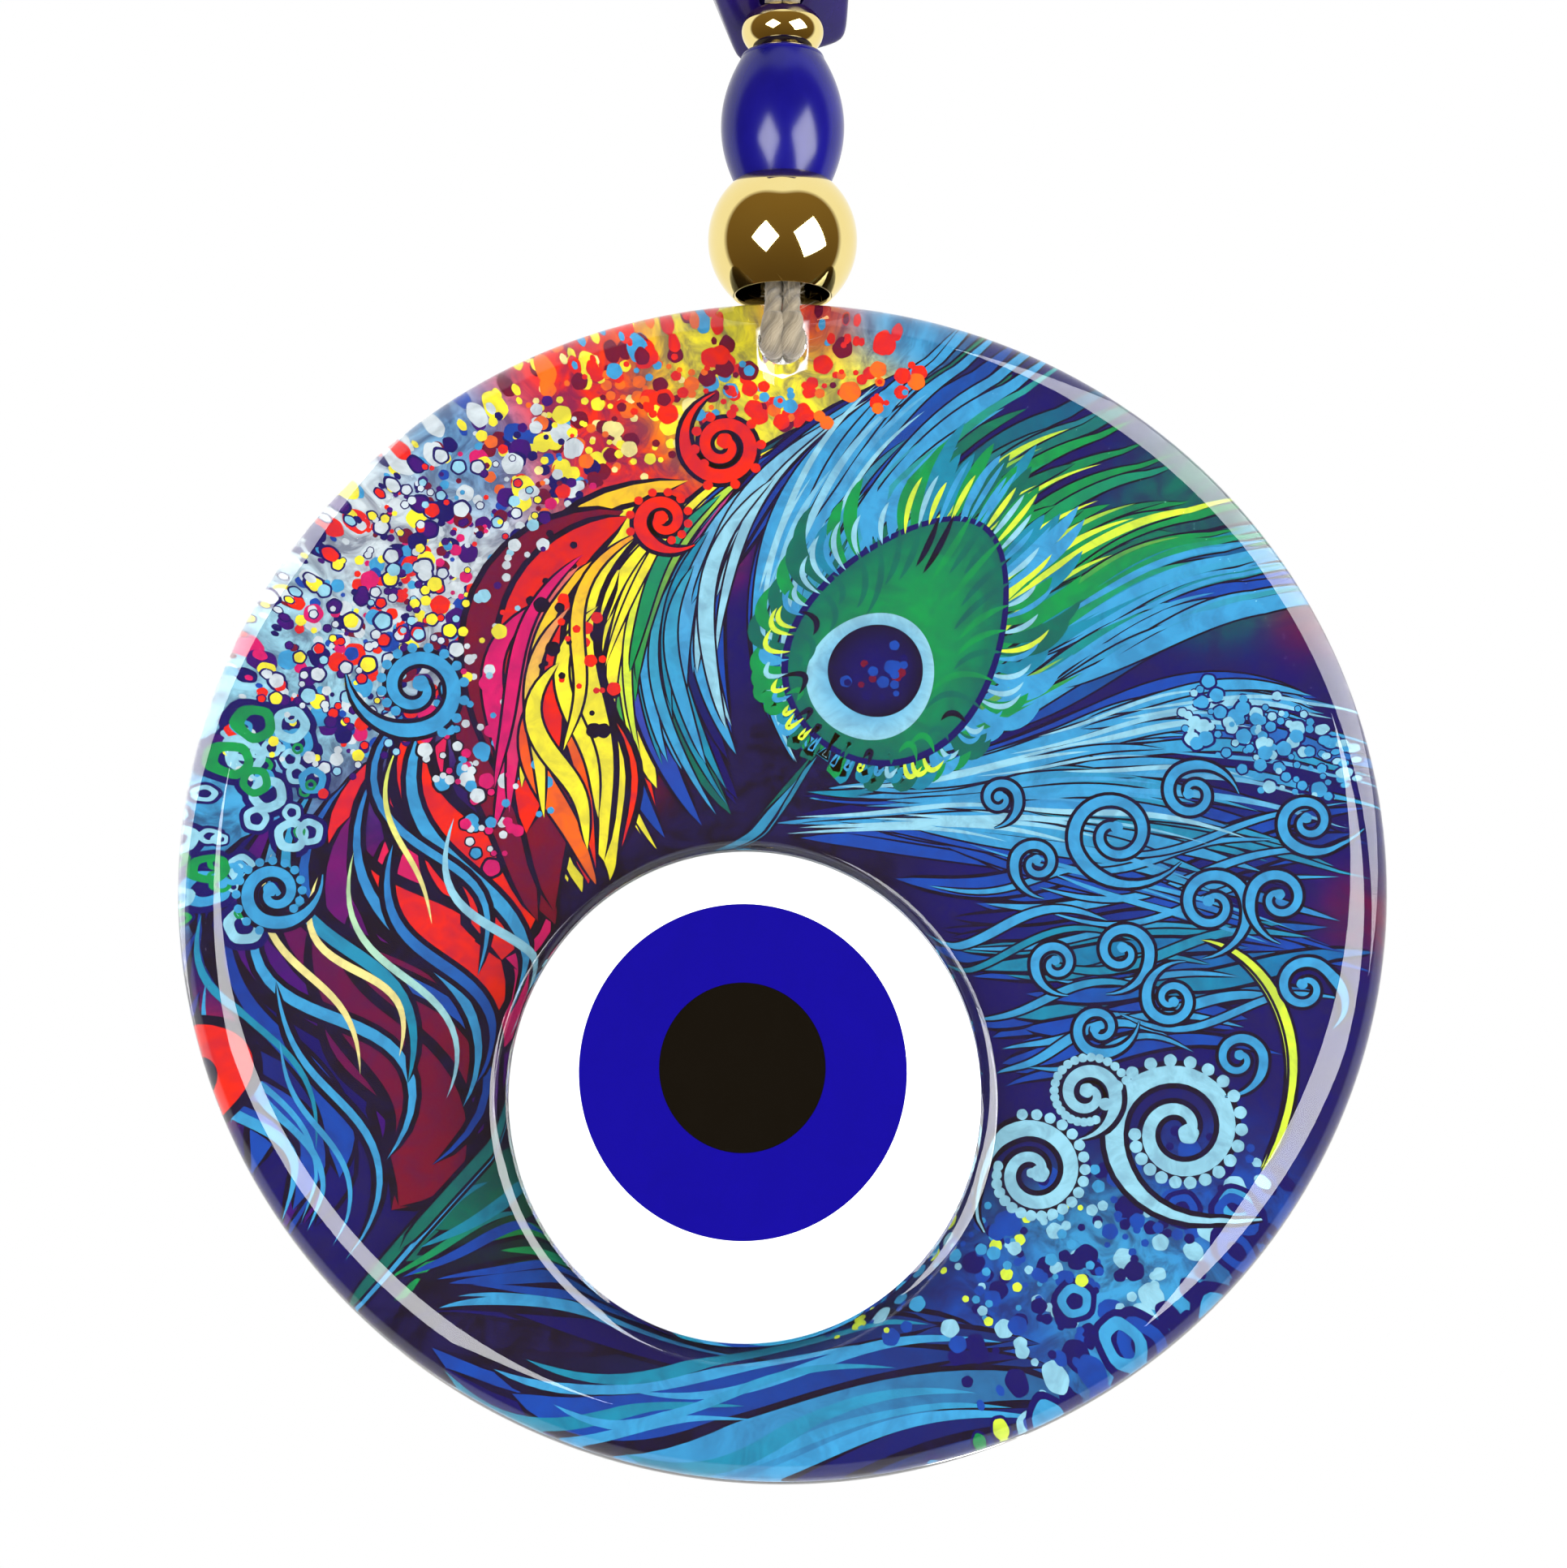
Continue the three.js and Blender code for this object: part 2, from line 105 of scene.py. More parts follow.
@dataclass
class Surface:
    """Points, four-cornered faces and values painted on the points, before they become a mesh."""

    points: np.ndarray
    faces: np.ndarray
    paint: dict[str, np.ndarray] = field(default_factory=dict)

    @classmethod
    def grid(cls, points: np.ndarray, wrap_rows: bool = False, wrap_columns: bool = False,
             **paint: np.ndarray) -> "Surface":
        """A surface on a grid of points, with a quad between each four neighbours.

        Args:
            points: (rows, columns, 3) points.
            wrap_rows: the last row joins the first.
            wrap_columns: the last column joins the first.
            paint: (rows, columns, k) values for the points.

        Returns:
            The surface, with point (row, column) at row * columns + column.
        """
        rows, columns = points.shape[:2]
        i = np.arange(rows if wrap_rows else rows - 1)
        j = np.arange(columns if wrap_columns else columns - 1)
        a, b = np.meshgrid(i, j, indexing="ij")
        a2, b2 = (a + 1) % rows, (b + 1) % columns
        corners = [a * columns + b, a * columns + b2, a2 * columns + b2, a2 * columns + b]
        flat = {key: value.reshape(rows * columns, -1) for key, value in paint.items()}
        return cls(points.reshape(-1, 3), np.stack(corners, axis=-1).reshape(-1, 4), flat)

    @classmethod
    def grids(cls, points: np.ndarray, wrap_columns: bool = False, **paint: np.ndarray) -> "Surface":
        """Many grids of one size at once, from (count, rows, columns, 3) points."""
        count, rows, columns = points.shape[:3]
        one = cls.grid(points[0], wrap_columns=wrap_columns)
        steps = np.arange(count)[:, None, None] * rows * columns
        flat = {key: value.reshape(count * rows * columns, -1) for key, value in paint.items()}
        return cls(points.reshape(-1, 3), (one.faces[None] + steps).reshape(-1, 4), flat)

    @classmethod
    def joined(cls, surfaces: Iterable["Surface"]) -> "Surface":
        """Several surfaces as one, each with the same kinds of paint."""
        parts = list(surfaces)
        starts = np.cumsum([0] + [len(s.points) for s in parts[:-1]])
        faces = np.concatenate([s.faces + start for s, start in zip(parts, starts, strict=True)])
        paint = {key: np.concatenate([s.paint[key] for s in parts]) for key in parts[0].paint}
        return cls(np.concatenate([s.points for s in parts]), faces, paint)

    def piece(self, name: str, material: bpy.types.Material, crease: float = 40.0,
              closed: bool = True) -> bpy.types.Object:
        """The surface as a mesh object at the origin.

        Args:
            name: the piece's name.
            material: its finish.
            crease: edges that bend more than this, in degrees, stay sharp.
            closed: merge the seams and poles and turn the faces outwards.

        Returns:
            The new object, linked to the scene.
        """
        mesh = bpy.data.meshes.new(name)
        mesh.from_pydata(self.points.tolist(), [], self.faces.tolist())
        for key, value in self.paint.items():
            kind, slot = ATTRIBUTE_KINDS[value.shape[1]]
            attribute = mesh.attributes.new(key, kind, "POINT")
            attribute.data.foreach_set(slot, value.astype(np.float32).ravel())
        if closed:
            work = bmesh.new()
            work.from_mesh(mesh)
            bmesh.ops.remove_doubles(work, verts=work.verts, dist=MERGE_DISTANCE)
            bmesh.ops.recalc_face_normals(work, faces=work.faces)
            work.to_mesh(mesh)
            work.free()
        mesh.materials.append(material)
        made = bpy.data.objects.new(name, mesh)
        bpy.context.scene.collection.objects.link(made)
        shade(made, crease)
        return made


def shade(piece: bpy.types.Object, crease: float) -> None:
    """Shade a piece smooth, apart from edges that bend more than a crease angle in degrees."""
    piece.data.polygons.foreach_set("use_smooth", np.ones(len(piece.data.polygons), bool))
    piece.data.set_sharp_from_angle(angle=math.radians(crease))


def stand_in(piece: bpy.types.Object, body: str, node: str) -> None:
    """Let a piece ride on a body in place of a CAD node, which it hides."""
    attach(piece, body)
    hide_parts(node)


def bored(piece: bpy.types.Object, radius: float, x: float, z: float, crease: float) -> None:
    """Drill a round hole along Y through a piece.

    Args:
        piece: the piece.
        radius: the hole's radius.
        x: its middle along X.
        z: its middle along Z.
        crease: the piece's crease angle, in degrees.
    """
    a = np.linspace(0, 2 * np.pi, DRILL_SIDES, endpoint=False)
    r = np.array([0, radius, radius, 0])[:, None]
    y = np.array([-1, -1, 1, 1])[:, None] * DRILL_HALF_LENGTH + 0 * a
    drill = Surface.grid(np.stack([x + r * np.cos(a), y, z + r * np.sin(a)], -1), wrap_columns=True)
    tool = drill.piece("drill", piece.data.materials[0])
    cut = piece.modifiers.new("hole", "BOOLEAN")
    cut.operation, cut.object, cut.solver = "DIFFERENCE", tool, "EXACT"
    graph = bpy.context.evaluated_depsgraph_get()
    mesh = bpy.data.meshes.new_from_object(piece.evaluated_get(graph), depsgraph=graph)
    piece.modifiers.remove(cut)
    piece.data = mesh
    bpy.data.objects.remove(tool)
    shade(piece, crease)


def arc(centre: tuple[float, float], radii: tuple[float, float], start: float, end: float,
        steps: int) -> np.ndarray:
    """Points on an arc of an ellipse: its middle plus each radius times the cosine and sine.

    Args:
        centre: the ellipse's middle.
        radii: its two radii.
        start: first angle, in degrees.
        end: last angle, in degrees.
        steps: number of equal steps.

    Returns:
        (steps + 1, 2) points.
    """
    a = np.radians(np.linspace(start, end, steps + 1))
    return np.stack([centre[0] + radii[0] * np.cos(a), centre[1] + radii[1] * np.sin(a)], axis=1)


def turned(profile: np.ndarray, height: float, sides: int = 128) -> Surface:
    """A bored body on the Z axis, from a closed profile.

    Each point (r, h) of the profile goes round as (r cos a, r sin a, h).

    Args:
        profile: (n, 2) points of radius and height.
        height: Z of the profile's zero height.
        sides: points round the axis.

    Returns:
        The surface.
    """
    a = np.linspace(0, 2 * np.pi, sides, endpoint=False)
    r, h = profile[:, :1], profile[:, 1:]
    points = np.stack([r * np.cos(a), r * np.sin(a), h + height + 0 * a], axis=-1)
    return Surface.grid(points, True, True)


def smooth_line(points: Sequence[Sequence[float]], count: int) -> np.ndarray:
    """A smooth line through points, evenly spaced.

    Between two points it is the Catmull-Rom cubic, whose slope at each point is half the way from the
    point before to the point after. It is then stepped along by its length.

    Args:
        points: the points that it passes through.
        count: how many points to give.

    Returns:
        (count, 3) points.
    """
    p = np.asarray(points, float)
    padded = np.concatenate([2 * p[:1] - p[1:2], p, 2 * p[-1:] - p[-2:-1]])
    t = np.linspace(0, len(p) - 1, LINE_STEPS * len(p))
    i = np.minimum(t.astype(int), len(p) - 2)
    f = (t - i)[:, None]
    a, b, c, d = (padded[i + k] for k in range(4))
    square, cube = 2 * a - 5 * b + 4 * c - d, 3 * b - a - 3 * c + d
    line = 0.5 * (2 * b + (c - a) * f + square * f**2 + cube * f**3)
    run = np.concatenate([[0], np.cumsum(np.linalg.norm(np.diff(line, axis=0), axis=1))])
    at = np.linspace(0, run[-1], count)
    return np.stack([np.interp(at, run, line[:, k]) for k in range(3)], axis=1)


def unit(vectors: np.ndarray) -> np.ndarray:
    """Vectors scaled to a length of one."""
    return vectors / np.maximum(np.linalg.norm(vectors, axis=-1, keepdims=True), 1e-12)


# ---- Finishes -------------------------------------------------------------------------------------


class Recipe:
    """A material's node tree while it is put together."""

    def __init__(self, name: str) -> None:
        """Start an empty tree with its output.

        Args:
            name: the material's name.
        """
        self.material = bpy.data.materials.new(name)
        self.material.use_nodes = True
        self.tree = self.material.node_tree
        self.tree.nodes.clear()
        self.output = self.tree.nodes.new("ShaderNodeOutputMaterial")

    def node(self, kind: str, inputs: dict | None = None, **settings: object) -> bpy.types.Node:
        """Add a node.

        Args:
            kind: the node's type without "ShaderNode".
            inputs: a value or a socket for each named or numbered input.
            settings: the node's own properties.

        Returns:
            The node.
        """
        made = self.tree.nodes.new("ShaderNode" + kind)
        for key, value in settings.items():
            setattr(made, key, value)
        for key, value in (inputs or {}).items():
            if isinstance(value, bpy.types.NodeSocket):
                self.tree.links.new(value, made.inputs[key])
            elif isinstance(value, tuple) and made.inputs[key].type == "RGBA":
                made.inputs[key].default_value = (*value[:3], 1.0)
            else:
                made.inputs[key].default_value = value
        return made

    def place(self, x: float = 1.0, y: float = 1.0, z: float = 1.0) -> bpy.types.NodeSocket:
        """The place on the object, in metres, stretched along each axis."""
        where = self.node("TexCoord").outputs["Object"]
        return self.node("Mapping", {"Vector": where, "Scale": (x, y, z)}).outputs[0]

    def noise(self, place: bpy.types.NodeSocket, scale: float, detail: float = 3.0, rough: float = 0.55,
              distortion: float = 0.0) -> bpy.types.NodeSocket:
        """Cloudy noise from 0 to 1 at a place."""
        values = {"Vector": place, "Scale": scale, "Detail": detail, "Roughness": rough,
                  "Distortion": distortion}
        return self.node("TexNoise", values).outputs["Fac"]

    def ramp(self, value: bpy.types.NodeSocket,
             stops: Sequence[tuple[float, Colour]]) -> bpy.types.NodeSocket:
        """A colour for each value, from stops of a place from 0 to 1 and a colour."""
        made = self.node("ValToRGB", {"Fac": value})
        elements = made.color_ramp.elements
        while len(elements) < len(stops):
            elements.new(0.5)
        for element, (where, colour) in zip(elements, stops, strict=True):
            element.position = where
            element.color = (*colour, 1.0)
        return made.outputs["Color"]

    def mix(self, share: bpy.types.NodeSocket | float, first: bpy.types.NodeSocket | Colour,
            second: bpy.types.NodeSocket | Colour) -> bpy.types.NodeSocket:
        """Two colours mixed, by a share of the second."""
        values = {0: share, 6: first, 7: second}
        return self.node("Mix", values, data_type="RGBA").outputs[2]

    def scaled(self, value: bpy.types.NodeSocket, low: float, high: float, start: float = 0.0,
               end: float = 1.0) -> bpy.types.NodeSocket:
        """A value that runs from start to end, stretched to run from low to high."""
        values = {"Value": value, "From Min": start, "From Max": end, "To Min": low, "To Max": high}
        return self.node("MapRange", values).outputs[0]

    def bump(self, height: bpy.types.NodeSocket, depth: float, strength: float) -> bpy.types.NodeSocket:
        """A normal for a height map of this depth in metres."""
        values = {"Height": height, "Distance": depth, "Strength": strength}
        return self.node("Bump", values).outputs[0]

    def finish(self, shader: bpy.types.Node) -> bpy.types.Material:
        """Join the shader to the output and give the material."""
        self.tree.links.new(shader.outputs[0], self.output.inputs["Surface"])
        return self.material


@dataclass(frozen=True)
class ClearGlass:
    """Fire-polished clear glass that lets lamps reach what lies behind it."""

    name: str = "clear_glass"
    tint: Colour = (0.985, 0.995, 0.997)
    pale: Colour = (0.995, 0.998, 0.999)
    shadow: Colour = (0.98, 0.99, 0.99)
    ripple: float = 0.02 * MM

    def material(self) -> bpy.types.Material:
        """A smooth glass shader with a faint ripple, left out of shadows."""
        r = Recipe(self.name)
        tint = r.mix(r.noise(r.place(), 20, 2), self.tint, self.pale)
        glass = r.node("BsdfPrincipled", {
            "Base Color": tint, "Roughness": 0.0, "IOR": 1.5, "Transmission Weight": 1.0,
            "Normal": r.bump(r.noise(r.place(), 45, 2), self.ripple, 0.5),
        })
        clear = r.node("BsdfTransparent", {"Color": self.shadow})
        shadow = r.node("LightPath").outputs["Is Shadow Ray"]
        return r.finish(r.node("MixShader", {0: shadow, 1: glass.outputs[0], 2: clear.outputs[0]}))


@dataclass(frozen=True)
class OpaqueGlass:
    """Coloured glass that lets hardly any light through."""

    name: str
    colour: Colour
    streak: Colour
    roughness: float = 0.05
    ripple: float = 0.02 * MM

    def material(self) -> bpy.types.Material:
        """Faint streaks of a second colour under a smooth gloss."""
        r = Recipe(self.name)
        colour = r.mix(r.noise(r.place(1, 1, 0.5), 160, 3, 0.6, 1.5), self.colour, self.streak)
        shine = r.scaled(r.noise(r.place(), 400, 2), self.roughness * 0.7, self.roughness * 1.5)
        return r.finish(r.node("BsdfPrincipled", {
            "Base Color": colour, "Roughness": shine, "IOR": 1.52,
            "Normal": r.bump(r.noise(r.place(), 90, 2), self.ripple, 0.6),
        }))


@dataclass(frozen=True)
class BeadGlass:
    """Coloured glass that light soaks into."""

    name: str
    colour: Colour
    deep: Colour
    clearness: float
    roughness: float = 0.2
    ior: float = 1.42
    ripple: float = 0.02 * MM

    def material(self) -> bpy.types.Material:
        """A glass shader tinted in clouds from deep to bright, over a share of solid colour."""
        r = Recipe(self.name)
        colour = r.mix(r.noise(r.place(1, 1, 0.6), 130, 3, 0.5, 0.8), self.deep, self.colour)
        return r.finish(r.node("BsdfPrincipled", {
            "Base Color": colour, "Roughness": self.roughness, "IOR": self.ior,
            "Transmission Weight": self.clearness,
            "Normal": r.bump(r.noise(r.place(), 150, 2), self.ripple, 0.5),
        }))


@dataclass(frozen=True)
class Gilt:
    """Bright gold plating with a few fine scratches."""

    name: str = "gilt"
    colour: Colour = (0.9, 0.71, 0.26)
    pale: Colour = (0.93, 0.78, 0.34)
    ripple: float = 0.02 * MM

    def material(self) -> bpy.types.Material:
        """A mirror-like metal whose tone and polish drift a little."""
        r = Recipe(self.name)
        tone = r.mix(r.noise(r.place(), 260, 3), self.colour, self.pale)
        return r.finish(r.node("BsdfPrincipled", {
            "Base Color": tone, "Metallic": 1.0,
            "Roughness": r.scaled(r.noise(r.place(1, 1, 9), 700, 2, 0.7), 0.02, 0.06),
            "Normal": r.bump(r.noise(r.place(), 120, 2), self.ripple, 0.5),
        }))


@dataclass(frozen=True)
class Hemp:
    """Natural hemp: straw-coloured fibres laid along the twist."""

    name: str = "hemp"
    light: Colour = lit(226, 212, 184)
    mid: Colour = lit(186, 170, 140)
    # the darkest fibre tone, which also serves as the painted shade in the grooves
    dark: Colour = lit(104, 90, 68)
    fibre_depth: float = 0.1 * MM

    def material(self) -> bpy.types.Material:
        """Streaks along the lay of the fibres, with painted shade that darkens the grooves between the
        plies.
        """
        r = Recipe(self.name)
        lay = r.node("Attribute", attribute_name="lay").outputs["Vector"]
        along = r.node("Mapping", {"Vector": lay, "Scale": (6.0, 6.0, 0.9)}).outputs[0]
        fibres = r.noise(along, 2.2, 4, 0.7)
        lumps = r.noise(lay, 1.6, 2)
        groove = r.node("Attribute", attribute_name="groove").outputs["Fac"]
        colour = r.ramp(fibres, [(0.3, self.dark), (0.46, self.mid), (0.66, self.light)])
        colour = r.mix(r.scaled(lumps, 0, 0.35), colour, self.mid)
        # painted shade: the groove's depth mixes the colour towards the dark tone between the plies
        colour = r.mix(r.scaled(groove, 0, 0.7), colour, self.dark)
        return r.finish(r.node("BsdfPrincipled", {
            "Base Color": colour, "Roughness": 0.85, "Sheen Weight": 0.3, "Sheen Roughness": 0.5,
            "Normal": r.bump(fibres, self.fibre_depth, 0.9),
        }))


@dataclass(frozen=True)
class Ink:
    """Printed ink whose colour is painted on the mesh."""

    name: str
    mottle: float
    cloud: Colour = (0.004, 0.003, 0.03)

    def material(self) -> bpy.types.Material:
        """The painted colour with darker clouds, as print on vinyl has."""
        r = Recipe(self.name)
        paint = r.node("Attribute", attribute_name="paint").outputs["Color"]
        clouds = r.scaled(r.noise(r.place(), 260, 4, 0.65, 1.0), 0, self.mottle, 0.4, 0.62)
        return r.finish(r.node("BsdfPrincipled", {
            "Base Color": r.mix(clouds, paint, self.cloud), "Roughness": r.scaled(clouds, 0.6, 0.75),
            "Specular IOR Level": 0.02,
        }))


@dataclass(frozen=True)
class Vinyl:
    """Pale backing sheet with a fine leathery grain."""

    name: str = "vinyl"
    colour: Colour = srgb(236, 235, 230)
    shadow: Colour = srgb(214, 212, 205)
    grain: float = 0.04 * MM

    def material(self) -> bpy.types.Material:
        """A matte surface with small cells pressed into it."""
        r = Recipe(self.name)
        cells = r.node("TexVoronoi", {"Vector": r.place(), "Scale": 1400.0}).outputs["Distance"]
        tone = r.mix(r.noise(r.place(), 60, 3), self.colour, self.shadow)
        return r.finish(r.node("BsdfPrincipled", {
            "Base Color": tone, "Roughness": r.scaled(cells, 0.5, 0.7),
            "Normal": r.bump(cells, self.grain, 0.7),
        }))


# ---- Studio ---------------------------------------------------------------------------------------


@dataclass
class Studio:
    """Camera, two soft boxes, a white surround with a dark room in front, and the floor."""

    look_up: float = 14.0
    distance: float = 0.75
    view_width: float = 168.8 * MM
    aim: tuple[float, float, float] = (0.1 * MM, 0.0, -163.1 * MM)
    sensor: float = 36.0
    lamp_aim: tuple[float, float, float] = (0.0, 0.0, -0.13)
    lamp_distance: float = 0.9
    radiance: float = 11.0
    floor_z: float = -0.62
    floor_half: float = 3.0
    room_low: Colour = (0.1, 0.062, 0.022)
    room_high: Colour = (0.22, 0.14, 0.045)
    room_wide: float = 98.0
    room_tall: float = 70.0
    room_power: float = 3.5

    def camera(self) -> None:
        """Place the camera below the plate's middle, looking up at it, with the view as wide as set."""
        data = bpy.data.cameras.new("camera")
        data.sensor_width = self.sensor
        data.lens = data.sensor_width * self.distance / self.view_width
        data.clip_start, data.clip_end = 0.01, 50
        camera = bpy.data.objects.new("camera", data)
        bpy.context.scene.collection.objects.link(camera)
        a = math.radians(self.look_up)
        camera.location = Vector(self.aim) + Vector((0, -math.cos(a), -math.sin(a))) * self.distance
        camera.rotation_euler = (math.pi / 2 + a, 0, 0)
        bpy.context.scene.camera = camera
        bpy.context.scene.view_settings.view_transform = "Standard"

    def soft_box(self, name: str, azimuth: float, elevation: float, spread: float, turn: float) -> None:
        """A square lamp that faces the ornament.

        Args:
            name: the lamp's name.
            azimuth: degrees right of the front.
            elevation: degrees above the level.
            spread: the angle that its side fills, seen from the ornament, in degrees.
            turn: its turn about its own axis, in degrees.
        """
        a, e = math.radians(azimuth), math.radians(elevation)
        way = Vector((math.sin(a) * math.cos(e), -math.cos(a) * math.cos(e), math.sin(e)))
        data = bpy.data.lights.new(name, "AREA")
        data.shape = "SQUARE"
        data.size = 2 * self.lamp_distance * math.tan(math.radians(spread / 2))
        data.energy = self.radiance * math.pi * data.size**2
        lamp = bpy.data.objects.new(name, data)
        bpy.context.scene.collection.objects.link(lamp)
        lamp.location = Vector(self.lamp_aim) + way * self.lamp_distance
        lamp.rotation_mode = "QUATERNION"
        lamp.rotation_quaternion = Quaternion(way, math.radians(turn)) @ way.to_track_quat("Z", "Y")
        lamp.visible_camera = False

    def surround(self) -> None:
        """White all round to the camera; to the ornament, a dim room about the camera and white beyond.

        With the angles right of and above the way to the camera, each as a share of the room's half
        width and half height, the room is where the sum of their sizes to the room's power is below one.
        """
        world = bpy.data.worlds.new("surround")
        bpy.context.scene.world = world
        world.use_nodes = True
        tree = world.node_tree
        tree.nodes.clear()

        def node(kind: str, values: dict, **settings: object) -> bpy.types.Node:
            """Add a node with values or sockets for its inputs."""
            made = tree.nodes.new("ShaderNode" + kind)
            for key, value in settings.items():
                setattr(made, key, value)
            for key, value in values.items():
                if isinstance(value, bpy.types.NodeSocket):
                    tree.links.new(value, made.inputs[key])
                else:
                    made.inputs[key].default_value = value
            return made

        def maths(operation: str, *values: object) -> bpy.types.NodeSocket:
            """One step of arithmetic."""
            return node("Math", dict(enumerate(values)), operation=operation).outputs[0]

        up = math.radians(self.look_up)
        way = node("TexCoord", {}).outputs["Generated"]
        parts = [
            node("VectorMath", {0: way, 1: axis}, operation="DOT_PRODUCT").outputs["Value"]
            for axis in ((1, 0, 0), (0, -math.cos(up), -math.sin(up)), (0, -math.sin(up), math.cos(up)))
        ]
        right = maths("ARCTAN2", parts[0], parts[1])
        above = maths("ARCSINE", parts[2])
        shares = [
            maths("POWER", maths("ABSOLUTE", maths("DIVIDE", angle, math.radians(half))), self.room_power)
            for angle, half in ((right, self.room_wide), (above, self.room_tall))
        ]
        beyond = node("MapRange", {0: maths("ADD", *shares), 1: 0.9, 2: 1.25}).outputs[0]
        height = node("MapRange", {0: parts[2], 1: -0.8, 2: 0.9}).outputs[0]
        room = node("Mix", {0: height, 6: (*self.room_low, 1), 7: (*self.room_high, 1)}, data_type="RGBA")
        tone = node("Mix", {0: beyond, 6: room.outputs[2], 7: (1, 1, 1, 1)}, data_type="RGBA").outputs[2]
        seen = node("Background", {"Color": tone})
        plain = node("Background", {"Color": (1, 1, 1, 1)})
        camera_ray = node("LightPath", {}).outputs["Is Camera Ray"]
        either = node("MixShader", {0: camera_ray, 1: seen.outputs[0], 2: plain.outputs[0]})
        node("OutputWorld", {"Surface": either.outputs[0]})

    def floor(self) -> None:
        """A plain pale floor below the ornament."""
        r = Recipe("floor_paint")
        tone = r.mix(r.noise(r.place(), 3, 2), (0.9, 0.9, 0.9), (0.86, 0.86, 0.86))
        paint = r.finish(r.node("BsdfPrincipled", {"Base Color": tone, "Roughness": 0.7}))
        edge = np.linspace(-self.floor_half, self.floor_half, 5)
        x, y = np.meshgrid(edge, edge)
        points = np.stack([x, y, np.full_like(x, self.floor_z)], -1)
        floor = Surface.grid(points).piece("floor", paint, closed=False)
        floor.visible_glossy = floor.visible_transmission = False
        floor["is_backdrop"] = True

    def build(self) -> None:
        """Set up the camera, the lamps, the surround and the floor."""
        self.camera()
        self.soft_box("left_box", -27, -6, 31, 40)
        self.soft_box("right_box", 45, -5, 41, 38)
        self.surround()
        self.floor()


# ---- Twine ----------------------------------------------------------------------------------------


class Lie(Enum):
    """Which way a run of twine lies, as the direction that its section is measured from."""

    ACROSS = (1.0, 0.0, 0.0)
    FLAT = (0.0, 1.0, 0.0)
    ROUND = (0.0, 0.0, 1.0)


